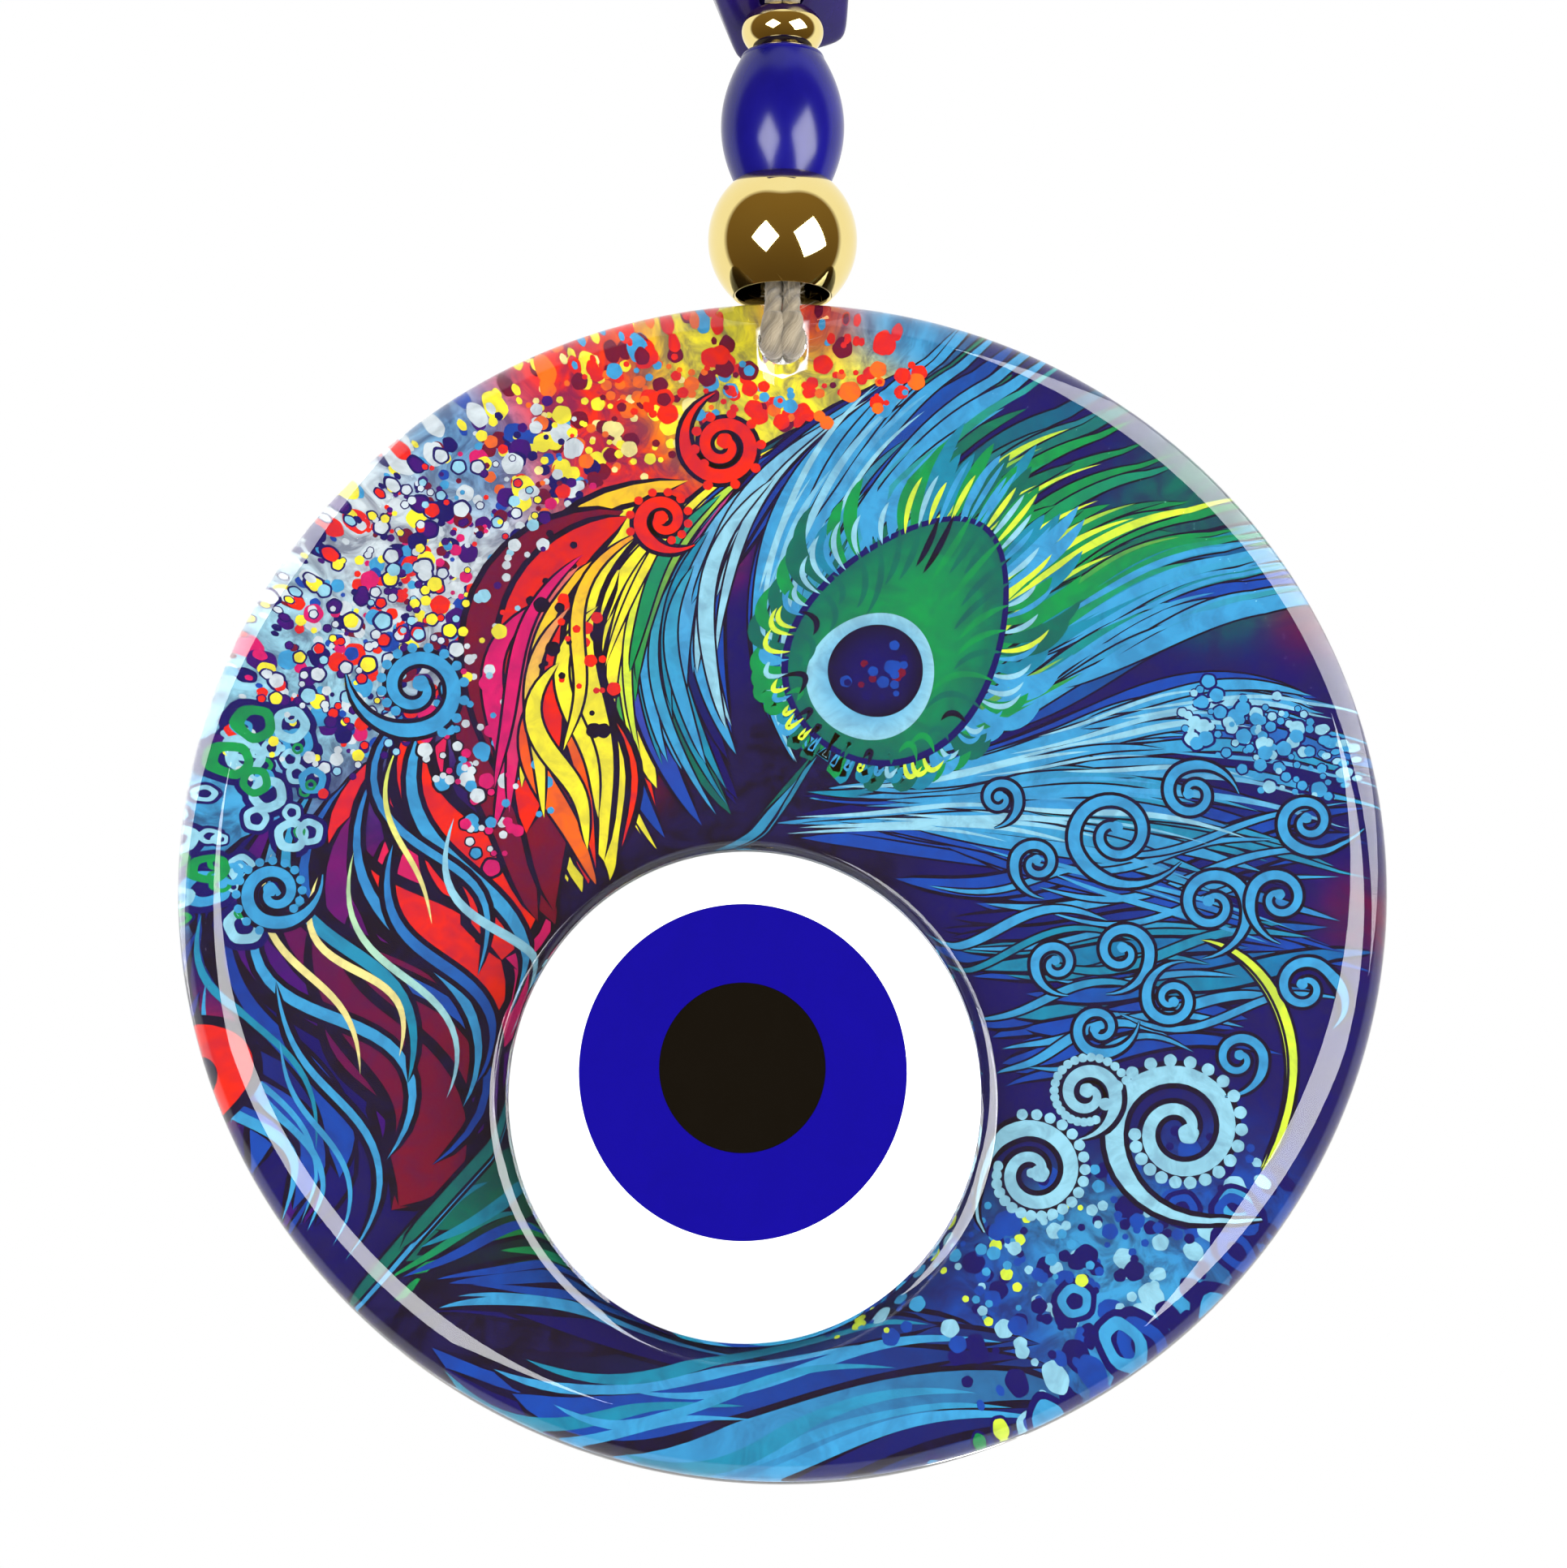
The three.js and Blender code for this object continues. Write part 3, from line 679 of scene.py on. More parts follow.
@dataclass
class Twine:
    """Three-ply hemp twine, with the runs that carry the ornament.

    Each ridge is a height as a share of the radius, a number of waves round and one along, in radians
    for each metre. The fibres' reach is a gamma draw of this shape and scale.
    """

    thickness: float = 1.9 * MM
    plies: int = 3
    lay_length: float = 8.0 * MM
    groove: float = 0.2
    groove_power: float = 0.8
    ridges: tuple[tuple[float, float, float], ...] = ((0.018, 13, 900), (0.014, 22, -1700))
    swell: float = 0.02
    swell_rate: float = 610.0
    fullness: float = 1.01
    sides: int = 30
    crease: float = 60.0
    fuzz_per_metre: int = 5200
    fibre_shape: float = 2.0
    fibre_scale: float = 0.42
    fibre_girth: float = 0.036 * MM
    half_neck: float = 1.15 * MM
    finish: bpy.types.Material = field(default_factory=lambda: Hemp().material())

    def __post_init__(self) -> None:
        """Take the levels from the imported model."""
        self.plate_low, self.plate_high = (np.array(v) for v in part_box("glass_plate"))
        self.knot_low, self.knot_high = (np.array(v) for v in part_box("top_knot"))
        self.knot = (self.knot_low + self.knot_high) / 2
        self.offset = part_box("twine_strand_front_right")[0][0] + self.thickness / 2

    def run(self, path: np.ndarray, lie: Lie, size: np.ndarray | float = 1.0) -> Surface:
        """A closed run of twine along a path.

        The section's radius at an angle is the twine's, less a groove where the angle, turned once in
        each lay length, falls between two plies: 1 less the size of the cosine of half the angle times
        the number of plies. Fine ridges from two sines stand on the plies, a slow sine swells the whole
        section, and the ends are capped.

        Args:
            path: (n, 3) points, evenly spaced.
            lie: the way that the section is measured from.
            size: (n,) shares of the thickness along the path, or one for all of it.

        Returns:
            The surface, painted with its lay and with its grooves' depth, which the hemp's finish turns
            into painted shade.
        """
        along = np.linalg.norm(np.diff(path, axis=0), axis=1)
        s = np.concatenate([[0], np.cumsum(along)])[:, None]
        way = unit(np.gradient(path, axis=0))
        side = unit(np.array(lie.value) - (way @ np.array(lie.value))[:, None] * way)
        other = np.cross(way, side)
        a = np.linspace(0, 2 * np.pi, self.sides, endpoint=False)[None]
        turn = a - 2 * np.pi * s / self.lay_length
        dip = 1 - np.abs(np.cos(self.plies * turn / 2)) ** self.groove_power
        ridges = sum(height * np.sin(count * turn + rate * s) for height, count, rate in self.ridges)
        swell = self.swell * np.sin(self.swell_rate * s + 1)
        radius = self.thickness / 2 * (self.fullness - self.groove * dip + ridges + swell)
        ends = np.ones(len(path)) * size
        ends[[0, -1]] = 0
        radius = radius * ends[:, None]
        ring = np.cos(a)[..., None] * side[:, None] + np.sin(a)[..., None] * other[:, None]
        points = path[:, None] + radius[..., None] * ring
        points[0], points[-1] = path[0], path[-1]
        first = path[:1, None] + radius[1:2, :, None] * ring[:1]
        last = path[-1:, None] + radius[-2:-1, :, None] * ring[-1:]
        rows = np.concatenate([points[:1], first, points[1:-1], last, points[-1:]])
        pick = np.concatenate([[0, 0], np.arange(1, len(path) - 1), [len(path) - 1] * 2])
        lay = np.stack([np.cos(turn), np.sin(turn), s / self.thickness + 0 * turn], -1)[pick]
        return Surface.grid(rows, wrap_columns=True, lay=lay, groove=dip[pick][..., None])

    def fuzz(self, path: np.ndarray, lie: Lie, seed: int, thick: float = 1.0) -> Surface:
        """Loose fibres that stand off a run of twine.

        Each fibre starts inside the twine at a random place and angle and follows a parabola, its start
        plus t times one direction plus t squared times another, as a thin three-sided spindle.

        Args:
            path: (n, 3) points of the run.
            lie: the way that the section is measured from.
            seed: start of the random draws.
            thick: how many times denser than usual the fibres stand.

        Returns:
            The fibres as one surface.
        """
        draw = np.random.default_rng(seed)
        length = np.linalg.norm(np.diff(path, axis=0), axis=1).sum()
        count = max(6, int(length * self.fuzz_per_metre * thick))
        at = draw.uniform(0.02, 0.98, count) * (len(path) - 1)
        low = at.astype(int)
        share = (at - low)[:, None]
        start = path[low] * (1 - share) + path[low + 1] * share
        way = unit(path[low + 1] - path[low])
        side = unit(np.array(lie.value) - (way @ np.array(lie.value))[:, None] * way)
        a = draw.uniform(0, 2 * np.pi, (count, 1))
        out = np.cos(a) * side + np.sin(a) * np.cross(way, side)
        first = unit(out * draw.uniform(0.2, 0.7, (count, 1)) + way * draw.choice([-1, 1], (count, 1))
                     + draw.normal(0, 0.25, (count, 3)))
        then = unit(out * 0.6 + draw.normal(0, 0.7, (count, 3)))
        reach = draw.gamma(self.fibre_shape, self.fibre_scale, (count, 1, 1)) * MM
        t = np.linspace(0, 1, 6)[None, :, None]
        base = (start + out * self.thickness * 0.4)[:, None]
        line = base + reach * (t * first[:, None] + 0.6 * t**2 * then[:, None])
        girth = self.fibre_girth * np.sin(np.pi * t) ** 0.4 * (1 - 0.5 * t)
        corner = np.linspace(0, 2 * np.pi, 3, endpoint=False)
        across = unit(np.cross(first, then))[:, None]
        third = unit(np.cross(across, first[:, None]))
        ring = (np.cos(corner)[:, None] * across[..., None, :]
                + np.sin(corner)[:, None] * third[..., None, :])
        points = line[:, :, None] + girth[..., None] * ring
        lay = np.broadcast_to(draw.uniform(0, 9, (count, 1, 1, 3)), points.shape)
        groove = np.zeros(points.shape[:3] + (1,))
        return Surface.grids(points, wrap_columns=True, lay=lay, groove=groove)

    def dress(self, name: str, path: np.ndarray, lie: Lie, body: str, node: str,
              size: np.ndarray | float = 1.0, thick: float = 1.0) -> bpy.types.Object:
        """One run of twine with fuzz, in place of its CAD node.

        Args:
            name: the piece's name.
            path: its path.
            lie: the way that its section is measured from.
            body: the body that it rides on.
            node: the node that it replaces.
            size: (n,) shares of the thickness along the path, or one for all of it.
            thick: how many times denser than usual the fuzz stands, 0 for none.

        Returns:
            The piece.
        """
        parts = [self.run(path, lie, size)]
        if thick:
            parts.append(self.fuzz(path, lie, sum(map(ord, name)), thick))
        piece = Surface.joined(parts).piece(name, self.finish, self.crease)
        stand_in(piece, body, node)
        return piece

    def loop(self) -> None:
        """The hanging loop, which is the ornament's one free cord, and its fuzz."""
        path = smooth_line(LOOP_ROUTE, 330) * MM
        cord = self.run(path, Lie.FLAT).piece("loop_twine", self.finish, self.crease)
        fuzz = self.fuzz(path, Lie.FLAT, 5).piece("loop_fuzz", self.finish, self.crease)
        for piece in (cord, fuzz):
            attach(piece, "loop")
        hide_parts("hanging_loop")

    def top_knot(self) -> None:
        """A wrapped knot: five half turns of the twine round its own strands, and the two cut ends.

        The wrap is a helix that sinks as it goes round and leans with the sine of its angle. Near its
        two ends it opens out to where the cut ends leave.
        """
        start, sweep, open_share = math.radians(184.7), math.radians(900), 0.07
        radius, opening, rise, lean, leave = 3.0, 1.9, 2.35, 0.35, 0.6
        u = np.linspace(0, 1, 420)
        edge = np.maximum(0, 1 - np.minimum(u, 1 - u) / open_share) ** 2
        a = start + u * sweep
        r = (radius + opening * edge) * MM
        h = ((rise * (1 - 2 * u) + lean * np.sin(a)) * (1 - edge) + leave * edge) * MM
        wrap = self.knot + np.stack([r * np.cos(a), r * np.sin(a), h], 1)
        low, high = self.knot_low[2] + 0.02 * MM, self.knot_high[2] + 0.28 * MM
        sides = (-self.offset, self.offset)
        cores = [np.linspace((x, y, low), (x, y, self.knot[2]), 60) for x in sides for y in sides]
        sides = (-self.half_neck, self.half_neck)
        neck = [np.linspace((x, 0, self.knot[2]), (x, 0, high), 60) for x in sides]
        parts = [self.run(wrap, Lie.ROUND), *(self.run(core, Lie.ACROSS) for core in cores + neck)]
        parts += [self.fuzz(wrap, Lie.ROUND, 11)]
        piece = Surface.joined(parts).piece("knot_wrap", self.finish, self.crease)
        stand_in(piece, "knot", "top_knot")

    def tails(self) -> None:
        """The two cut ends of the twine, each with a frayed tip."""
        for name, side in (("left", -1), ("right", 1)):
            half = (self.knot_high[0] - self.knot_low[0]) / 2
            route = [(side * (half + out * MM), side * on * MM, up * MM) for out, on, up in TAIL_ROUTE]
            path = smooth_line(route, 60) + self.knot
            self.dress(f"tail_{name}", path, Lie.FLAT, "knot", f"twine_tail_{name}")

    def strands(self) -> None:
        """Four straight strands down through the beads, whose bores press their fuzz flat."""
        for name, side in (("left", -1), ("right", 1)):
            for place, ahead in (("front", -1), ("back", 1)):
                node = f"twine_strand_{place}_{name}"
                low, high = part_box(node)
                x, y = side * self.offset, ahead * self.offset
                path = np.linspace((x, y, high[2]), (x, y, low[2]), 330)
                self.dress(f"strand_{place}_{name}", path, Lie.ACROSS, "column", node, thick=0)

    def bights(self) -> None:
        """Two strands from the bundle over the rim in front, through the plate's hole and up behind it.

        Where they bend into the hole they swell, by a share of exp(-(distance / swell's reach)^2).
        """
        swell, swell_reach, density = 0.6, 2.4 * MM, 2.6
        top, front = self.plate_high[2] / MM, self.plate_low[1] / MM
        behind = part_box("backing_sheet")[1][1] / MM
        clear = self.thickness / MM / 2 + 0.3
        x = self.offset / MM
        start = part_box("twine_strand_front_left")[0][2] / MM - 0.3
        hole = Plate.hole_radius / MM
        chord = math.sqrt(hole**2 - (x + self.thickness / MM / 2) ** 2)
        in_hole = top - Plate.hole_below_edge / MM + chord - clear
        mouth = Beads.large_bore / MM - clear
        rim = np.radians([-32, -52, -72])
        out = unit(np.stack([np.cos(rim) / (Plate.rim_in / MM), np.sin(rim) / (Plate.rim_depth / MM)], 1))
        rim_y = front + Plate.rim_depth / MM * (1 + np.sin(rim)) + out[:, 1] * (clear + 0.1)
        rim_z = top - Plate.rim_in / MM * (1 - np.cos(rim)) + out[:, 0] * (clear + 0.1)
        route = [
            (-x, start), (-x, top + 2.6), (-x - 0.1, top + 1.5), *zip(rim_y, rim_z, strict=True),
            (front - clear - 0.15, in_hole + 1.1), (front - clear + 0.1, in_hole - 0.6),
            (front + 0.1, in_hole - 1.15), (0, in_hole - 0.6), (behind - 0.2, in_hole - 0.1),
            (behind + clear - 0.3, in_hole + 0.4), (behind + clear, in_hole + 1.5),
            (behind + clear, top - 2.4), (behind + clear - 0.1, top - 0.7),
            (mouth - 0.15, top + clear - 0.6), (mouth - 1.15, top + clear + 0.2),
            (x + 0.5, top + clear + 0.95), (x + 0.08, top + clear + 1.7), (x, start),
        ]
        for name, side in (("left", -1), ("right", 1)):
            path = smooth_line([(side * x, y, z) for y, z in route], 240) * MM
            knuckle = np.array([0.0, front - 0.6, in_hole - 0.3]) * MM
            near = np.exp(-(((path - knuckle)[:, 1:] ** 2).sum(1)) / swell_reach**2)
            node, size = f"twine_bight_{name}", 1 + swell * near
            self.dress(f"bight_{name}", path, Lie.ACROSS, "plate", node, size, density)

    def build(self) -> None:
        """Make every run of twine."""
        self.loop()
        self.top_knot()
        self.tails()
        self.strands()
        self.bights()


# ---- Beads ----------------------------------------------------------------------------------------


@dataclass
class Beads:
    """The five beads on the twine: three gilt, a barrel and a nugget of glass."""

    large_bore: float = 5.1 * MM
    small_bore: float = 2.65 * MM
    lip: float = 0.3 * MM
    large_bulge: float = 8.6 * MM
    small_bulge: float = 3.28 * MM
    bead_gap: float = 0.3 * MM
    crease: float = 45.0
    barrel_end: float = 4.2 * MM
    barrel_soft: float = 0.7 * MM
    nugget_faces: tuple[tuple[float, float, float, float], ...] = (
        (math.tan(math.radians(8)), -math.tan(math.radians(30)), -1, 6.882), (0.12, 0.1, 1, 6.915),
        (1, 0.05, 0, 7.5), (-1, -0.06, 0.05, 8.4), (-0.93, 0.1, -0.37, 10.2), (0.05, 1, 0.05, 7.9),
        (-0.05, -1, 0.1, 7.2), (0.55, 0.35, -0.76, 15), (0.7, -0.2, 0.7, 9), (-0.6, 0.5, 0.62, 9.6),
    )
    nugget_softness: float = 18.0
    nugget_half: float = 7 * MM
    nugget_crease: float = 50.0

    def gilt_bead(self, name: str, bore: float, bulge: float, finish: bpy.types.Material,
                  body: str) -> None:
        """A gilt bead: an ellipse's flank, with rounded mouths at both ends of its bore.

        The flank's radius at height h is the bead's radius times the root of 1 - (h / bulge) squared.

        Args:
            name: the bead's node.
            bore: radius of its bore.
            bulge: half height that its ellipse would have.
            finish: its plating.
            body: the body that it rides on.
        """
        low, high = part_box(name)
        half, radius = (high[2] - low[2]) / 2, (high[0] - low[0]) / 2
        h = half * np.sin(np.linspace(-np.pi / 2, np.pi / 2, 41))
        flank = np.stack([np.maximum(radius * np.sqrt(1 - (h / bulge) ** 2), bore + self.lip), h], 1)
        top = arc((bore + self.lip, half - self.lip), (self.lip, self.lip), 90, 180, 8)
        foot = arc((bore + self.lip, self.lip - half), (self.lip, self.lip), 180, 270, 8)
        body_of_bead = turned(np.concatenate([flank, top, foot]), (low[2] + high[2]) / 2)
        self.place(body_of_bead, name, finish, body, "gold_plate", self.crease)

    def barrel(self, finish: bpy.types.Material) -> None:
        """The barrel, whose radius falls with the square of the height, with rounded ends."""
        low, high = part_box("barrel_bead")
        half, radius = (high[2] - low[2]) / 2, (high[0] - low[0]) / 2
        soft = self.barrel_soft
        h = (half - soft) * np.sin(np.linspace(-np.pi / 2, np.pi / 2, 49))
        flank = np.stack([radius - (radius - self.barrel_end) * (h / half) ** 2, h], 1)
        r_end = flank[-1, 0] - soft
        shoulder_top = arc((r_end, half - soft), (soft, soft), 10, 90, 8)
        shoulder_foot = arc((r_end, soft - half), (soft, soft), -90, -10, 8)
        top = arc((self.small_bore + self.lip, half - self.lip), (self.lip, self.lip), 90, 180, 6)
        foot = arc((self.small_bore + self.lip, self.lip - half), (self.lip, self.lip), 180, 270, 6)
        profile = np.concatenate([shoulder_foot, flank, shoulder_top, top, foot])
        barrel = turned(profile, (low[2] + high[2]) / 2)
        self.place(barrel, "barrel_bead", finish, "barrel", "blue_bead_glass", self.crease)

    def nugget(self, finish: bpy.types.Material) -> None:
        """The nugget: a lump with flat faces and soft edges, drilled along the twine.

        Each face has a way out and a distance. The surface's distance along a direction is the sum, over
        the faces, of the direction's part along that way, divided by the distance, to a high power,
        taken to minus one over that power. The bore joins its ends where the surface meets the drill.
        """
        faces = np.array(self.nugget_faces)
        normals, reach = unit(faces[:, :3]), faces[:, 3] * MM
        p = self.nugget_softness

        def surface(ways: np.ndarray) -> np.ndarray:
            """Distance of the surface from the middle along unit directions."""
            parts = np.maximum(0, ways @ normals.T / reach)
            return (parts**p).sum(-1) ** (-1 / p)

        a = np.linspace(0, 2 * np.pi, 192, endpoint=False)
        polar = np.linspace(0.36, np.pi - 0.31, 110)[:, None]
        ways = np.stack([np.sin(polar) * np.cos(a), np.sin(polar) * np.sin(a), np.cos(polar) + 0 * a], -1)
        shell = ways * surface(ways)[..., None]
        ends = []
        for row, step in ((shell[0], 1), (shell[-1], -1)):
            ring = np.stack([self.small_bore * np.cos(a), self.small_bore * np.sin(a), row[:, 2]], -1)
            t = np.linspace(1, 0, 6)[:-1, None, None]
            ends.append((row * (1 - t) + ring * t)[::step])
        points = np.concatenate([ends[0], shell, ends[1]])
        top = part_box("upper_gold_bead")[0][2]
        cap_slope = math.hypot(*self.nugget_faces[1][:2])
        below = cap_slope * (self.small_bore + self.lip) + self.bead_gap
        points[..., 2] += top - below - self.nugget_half
        lump = Surface.grid(points, True, True)
        self.place(lump, "nugget_bead", finish, "nugget", "indigo_glass", self.nugget_crease)

    def place(self, surface: Surface, node: str, finish: bpy.types.Material, body: str, slot: str,
              crease: float) -> None:
        """Make a bead's piece in place of its CAD node.

        Args:
            surface: its shape.
            node: the node that it replaces.
            finish: its material.
            body: the body that it rides on.
            slot: not used.
            crease: edges that bend more than this, in degrees, stay sharp.
        """
        piece = surface.piece(node.replace("_bead", "") + "_turned", finish, crease)
        stand_in(piece, body, node)

    def build(self) -> None:
        """Make the five beads."""
        gilt = Gilt().material()
        self.gilt_bead("large_gold_bead", self.large_bore, self.large_bulge, gilt, "large_gold")
        self.gilt_bead("lower_gold_bead", self.small_bore, self.small_bulge, gilt, "lower_gold")
        self.gilt_bead("upper_gold_bead", self.small_bore, self.small_bulge, gilt, "upper_gold")
        self.barrel(BeadGlass("cobalt_bead", lit(34, 30, 200), lit(4, 4, 136), 0.3).material())
        self.nugget(BeadGlass("indigo_bead", lit(60, 32, 160), lit(24, 10, 96), 0.25).material())


# ---- Plate and eye --------------------------------------------------------------------------------


@dataclass(frozen=True)
class Oval:
    """An upright ellipse on the plate, about the plate's middle."""

    across: float
    tall: float
    x: float
    z: float

    def at(self, a: np.ndarray, scale: np.ndarray | float = 1.0) -> tuple[np.ndarray, np.ndarray]:
        """X and Z of the outline at angles, times a scale."""
        return self.x + self.across * scale * np.cos(a), self.z + self.tall * scale * np.sin(a)


@dataclass
class Plate:
    """The clear plate with its rounded rim, its hole and the glass drawn up round the eye."""

    rim_in: float = 5.5 * MM
    rim_depth: float = 5.0 * MM
    chamfer: float = 0.5 * MM
    hole_radius: float = 2.7 * MM
    hole_below_edge: float = 5.6 * MM
    collar_height: float = 1.1 * MM
    collar_reach: float = 2.6 * MM
    collar_power: float = 2.6
    eye_gap: float = 0.05 * MM
    eye_lift: float = 0.03 * MM
    eye_height: float = 2.2 * MM
    eye_fall: float = 0.35 * MM
    edge_round: float = 1.5 * MM
    iris_depth: float = 1.0 * MM
    pupil_depth: float = 0.5 * MM
    white: Oval = Oval(25.05 * MM, 26.6 * MM, -4 * MM, -24.5 * MM)
    iris: Oval = Oval(17.35 * MM, 18.2 * MM, -4.2 * MM, -22.2 * MM)
    pupil: Oval = Oval(8.8 * MM, 9.2 * MM, -4.25 * MM, -21.8 * MM)
    fit: float = 0.02 * MM
    crease: float = 30.0
    lens_crease: float = 50.0
    sides: int = 288

    def __post_init__(self) -> None:
        """Take the plate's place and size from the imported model."""
        low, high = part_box("glass_plate")
        self.radius = (high[2] - low[2]) / 2
        self.middle = (low[2] + high[2]) / 2
        self.front, self.back = low[1], high[1]
        self.hole_z = high[2] - self.hole_below_edge
        self.angles = np.linspace(0, 2 * np.pi, self.sides, endpoint=False)

    def rows(self, parts: Sequence[tuple[np.ndarray, np.ndarray, np.ndarray]]) -> Surface:
        """A closed surface from rows of X, depth and Z, from the front's middle to the back's."""
        x, y, z = (np.concatenate([np.atleast_2d(p[k]) for p in parts]) for k in range(3))
        points = np.stack([x, y, z + self.middle], -1)
        return Surface.grid(points, wrap_columns=True)

    def glass(self) -> None:
        """The plate: flat under the eye, a collar at its edge, flat to the rim, rounded, flat behind.

        The collar stands collar_height at the eye and falls with the distance d from it, as
        (1 - d / reach) to the collar's power. Rays from the eye's middle carry the outline to the rim.
        """
        a, flat = self.angles, np.full(self.sides, self.front)
        outline = 1 + self.eye_gap / self.white.across
        ex, ez = self.white.at(a, outline)
        way = unit(np.stack([ex - self.white.x, ez - self.white.z], 1))
        inner = self.radius - self.rim_in
        along = ex * way[:, 0] + ez * way[:, 1]
        reach = -along + np.sqrt(along**2 - ex**2 - ez**2 + inner**2)
        near = self.collar_reach * np.linspace(0, 1, 15) ** 1.4
        far = self.collar_reach + (reach - self.collar_reach) * np.linspace(0, 1, 9)[1:, None]
        d = np.concatenate([np.repeat(near[:, None], self.sides, 1), far])
        rise = self.collar_height * np.maximum(0, 1 - d / self.collar_reach) ** self.collar_power
        field_rows = (ex + d * way[:, 0], self.front - rise, ez + d * way[:, 1])
        phi = np.arctan2(field_rows[2][-1], field_rows[0][-1])
        t = np.radians(np.linspace(0, 90, 19))[1:, None]
        r = inner + self.rim_in * np.sin(t)
        rim = (r * np.cos(phi), self.front + self.rim_depth * (1 - np.cos(t)) + 0 * phi, r * np.sin(phi))
        r_back = np.array([self.radius, self.radius - self.chamfer, self.radius * 0.5, 0])[:, None]
        y_back = np.array([self.back - self.chamfer, self.back, self.back, self.back])[:, None] + 0 * phi
        behind = (r_back * np.cos(phi), y_back, r_back * np.sin(phi))
        under = [self.at_depth(self.white.at(a, share), flat) for share in (0, 0.5, 1)]
        parts = [*under, (ex, flat, ez), field_rows, rim, behind]
        piece = self.rows(parts).piece("plate_glass", ClearGlass().material(), self.crease)
        bored(piece, self.hole_radius, 0, self.hole_z, self.crease)
        stand_in(piece, "plate", "glass_plate")

    def crown(self, x: np.ndarray, z: np.ndarray) -> np.ndarray:
        """Depth of the eye's front: the crown's height, less a fall with the square of the share of the
        white's radius, less a rounding by a quarter circle next to the outline."""
        share = np.hypot((x - self.white.x) / self.white.across, (z - self.white.z) / self.white.tall)
        inside = np.clip((1 - share) * self.white.across, 0, self.edge_round)
        drop = self.edge_round - np.sqrt(self.edge_round**2 - (self.edge_round - inside) ** 2)
        return self.front - self.eye_height + self.eye_fall * share**2 + drop

    def lens(self, name: str, oval: Oval, foot: float, finish: bpy.types.Material, node: str, slot: str,
             pocket: Oval | None = None, pocket_foot: float = 0.0) -> None:
        """One glass piece of the eye, with a pocket for the next.

        Its front runs from the pocket's outline, or its own middle, to its own outline along straight
        lines on the plate, at the crown's depth. Its back is flat at its foot.

        Args:
            name: the piece's name.
            oval: its outline.
            foot: depth of its back.
            finish: its glass.
            node: the node that it replaces.
            slot: not used.
            pocket: outline of the pocket in its front.
            pocket_foot: depth of the pocket's floor.
        """
        a = self.angles
        x1, z1 = oval.at(a)
        inner = oval
        if pocket:
            inner = Oval(pocket.across + self.fit, pocket.tall + self.fit, pocket.x, pocket.z)
        x0, z0 = inner.at(a, 1.0 if pocket else 0.0)
        t = (1 - (1 - np.linspace(0, 1, 34)) ** 2)[:, None]
        x, z = x0 * (1 - t) + x1 * t, z0 * (1 - t) + z1 * t
        rows = [(x, self.crown(x, z), z)]
        if pocket:
            floor = np.full(self.sides, pocket_foot + self.fit)
            rows = [self.at_depth(inner.at(a, 0.0), floor), self.at_depth(inner.at(a), floor)] + rows
        base = np.full(self.sides, foot)
        rows += [self.at_depth((x1, z1), base), self.at_depth(oval.at(a, 0.0), base)]
        piece = self.rows(rows).piece(name, finish, self.lens_crease)
        stand_in(piece, "plate", node)

    @staticmethod
    def at_depth(outline: tuple[np.ndarray, np.ndarray],
                 depth: np.ndarray) -> tuple[np.ndarray, np.ndarray, np.ndarray]:
        """An outline and a depth as X, Y and Z."""
        return outline[0], depth, outline[1]

    def eye(self) -> None:
        """The white, the iris and the pupil, each let into the one below."""
        iris_foot = self.front - self.eye_height + self.iris_depth
        pupil_foot = self.front - self.eye_height + self.pupil_depth
        white = OpaqueGlass("white_glass", srgb(250, 252, 255), srgb(243, 248, 255), 0.1)
        cobalt = OpaqueGlass("cobalt_glass", lit(12, 2, 174), lit(8, 2, 160), 0.06)
        black = OpaqueGlass("black_glass", lit(12, 12, 12), lit(8, 8, 9), 0.06)
        self.lens("white_of_eye", self.white, self.front - self.eye_lift, white.material(), "eye_white",
                  "white_glass", self.iris, iris_foot)
        self.lens("iris_of_eye", self.iris, iris_foot, cobalt.material(), "eye_iris", "cobalt_glass",
                  self.pupil, pupil_foot)
        self.lens("pupil_of_eye", self.pupil, pupil_foot, black.material(), "eye_pupil", "black_glass")

    def build(self) -> None:
        """Make the plate and the eye, and dress the backing sheet."""
        self.glass()
        self.eye()
        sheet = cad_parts["backing_sheet"]
        sheet.data.materials.clear()
        sheet.data.materials.append(Vinyl().material())


# ---- Print ----------------------------------------------------------------------------------------

NIGHT, NAVY, BLUE = lit(12, 6, 34), lit(10, 8, 92), lit(12, 66, 160)
SKY, CYAN, ICE = lit(56, 150, 200), lit(16, 128, 158), lit(140, 196, 216)
TEAL, GREEN, LIME = lit(0, 100, 84), lit(2, 140, 70), lit(208, 232, 60)
YELLOW, ORANGE, RED = lit(236, 224, 50), lit(236, 104, 28), lit(222, 34, 22)
MAGENTA, WINE, PURPLE = lit(206, 22, 100), lit(110, 6, 40), lit(58, 4, 108)
PEARL, CREAM = lit(198, 208, 213), lit(234, 220, 140)


class Taper(Enum):
    """How a brush stroke's width changes from its start to its tip."""

    LEAF = "leaf"
    FLAME = "flame"
    BAND = "band"

    def widths(self, t: np.ndarray) -> np.ndarray:
        """Share of the full width along the stroke, for t from 0 to 1."""
        if self is Taper.LEAF:
            return np.sin(np.pi * t) ** 0.7
        if self is Taper.FLAME:
            return np.minimum(1, t / 0.12) * (1 - t) ** 0.65
        return np.sqrt(np.clip(np.minimum(t, 1 - t) / 0.08, 0, 1))


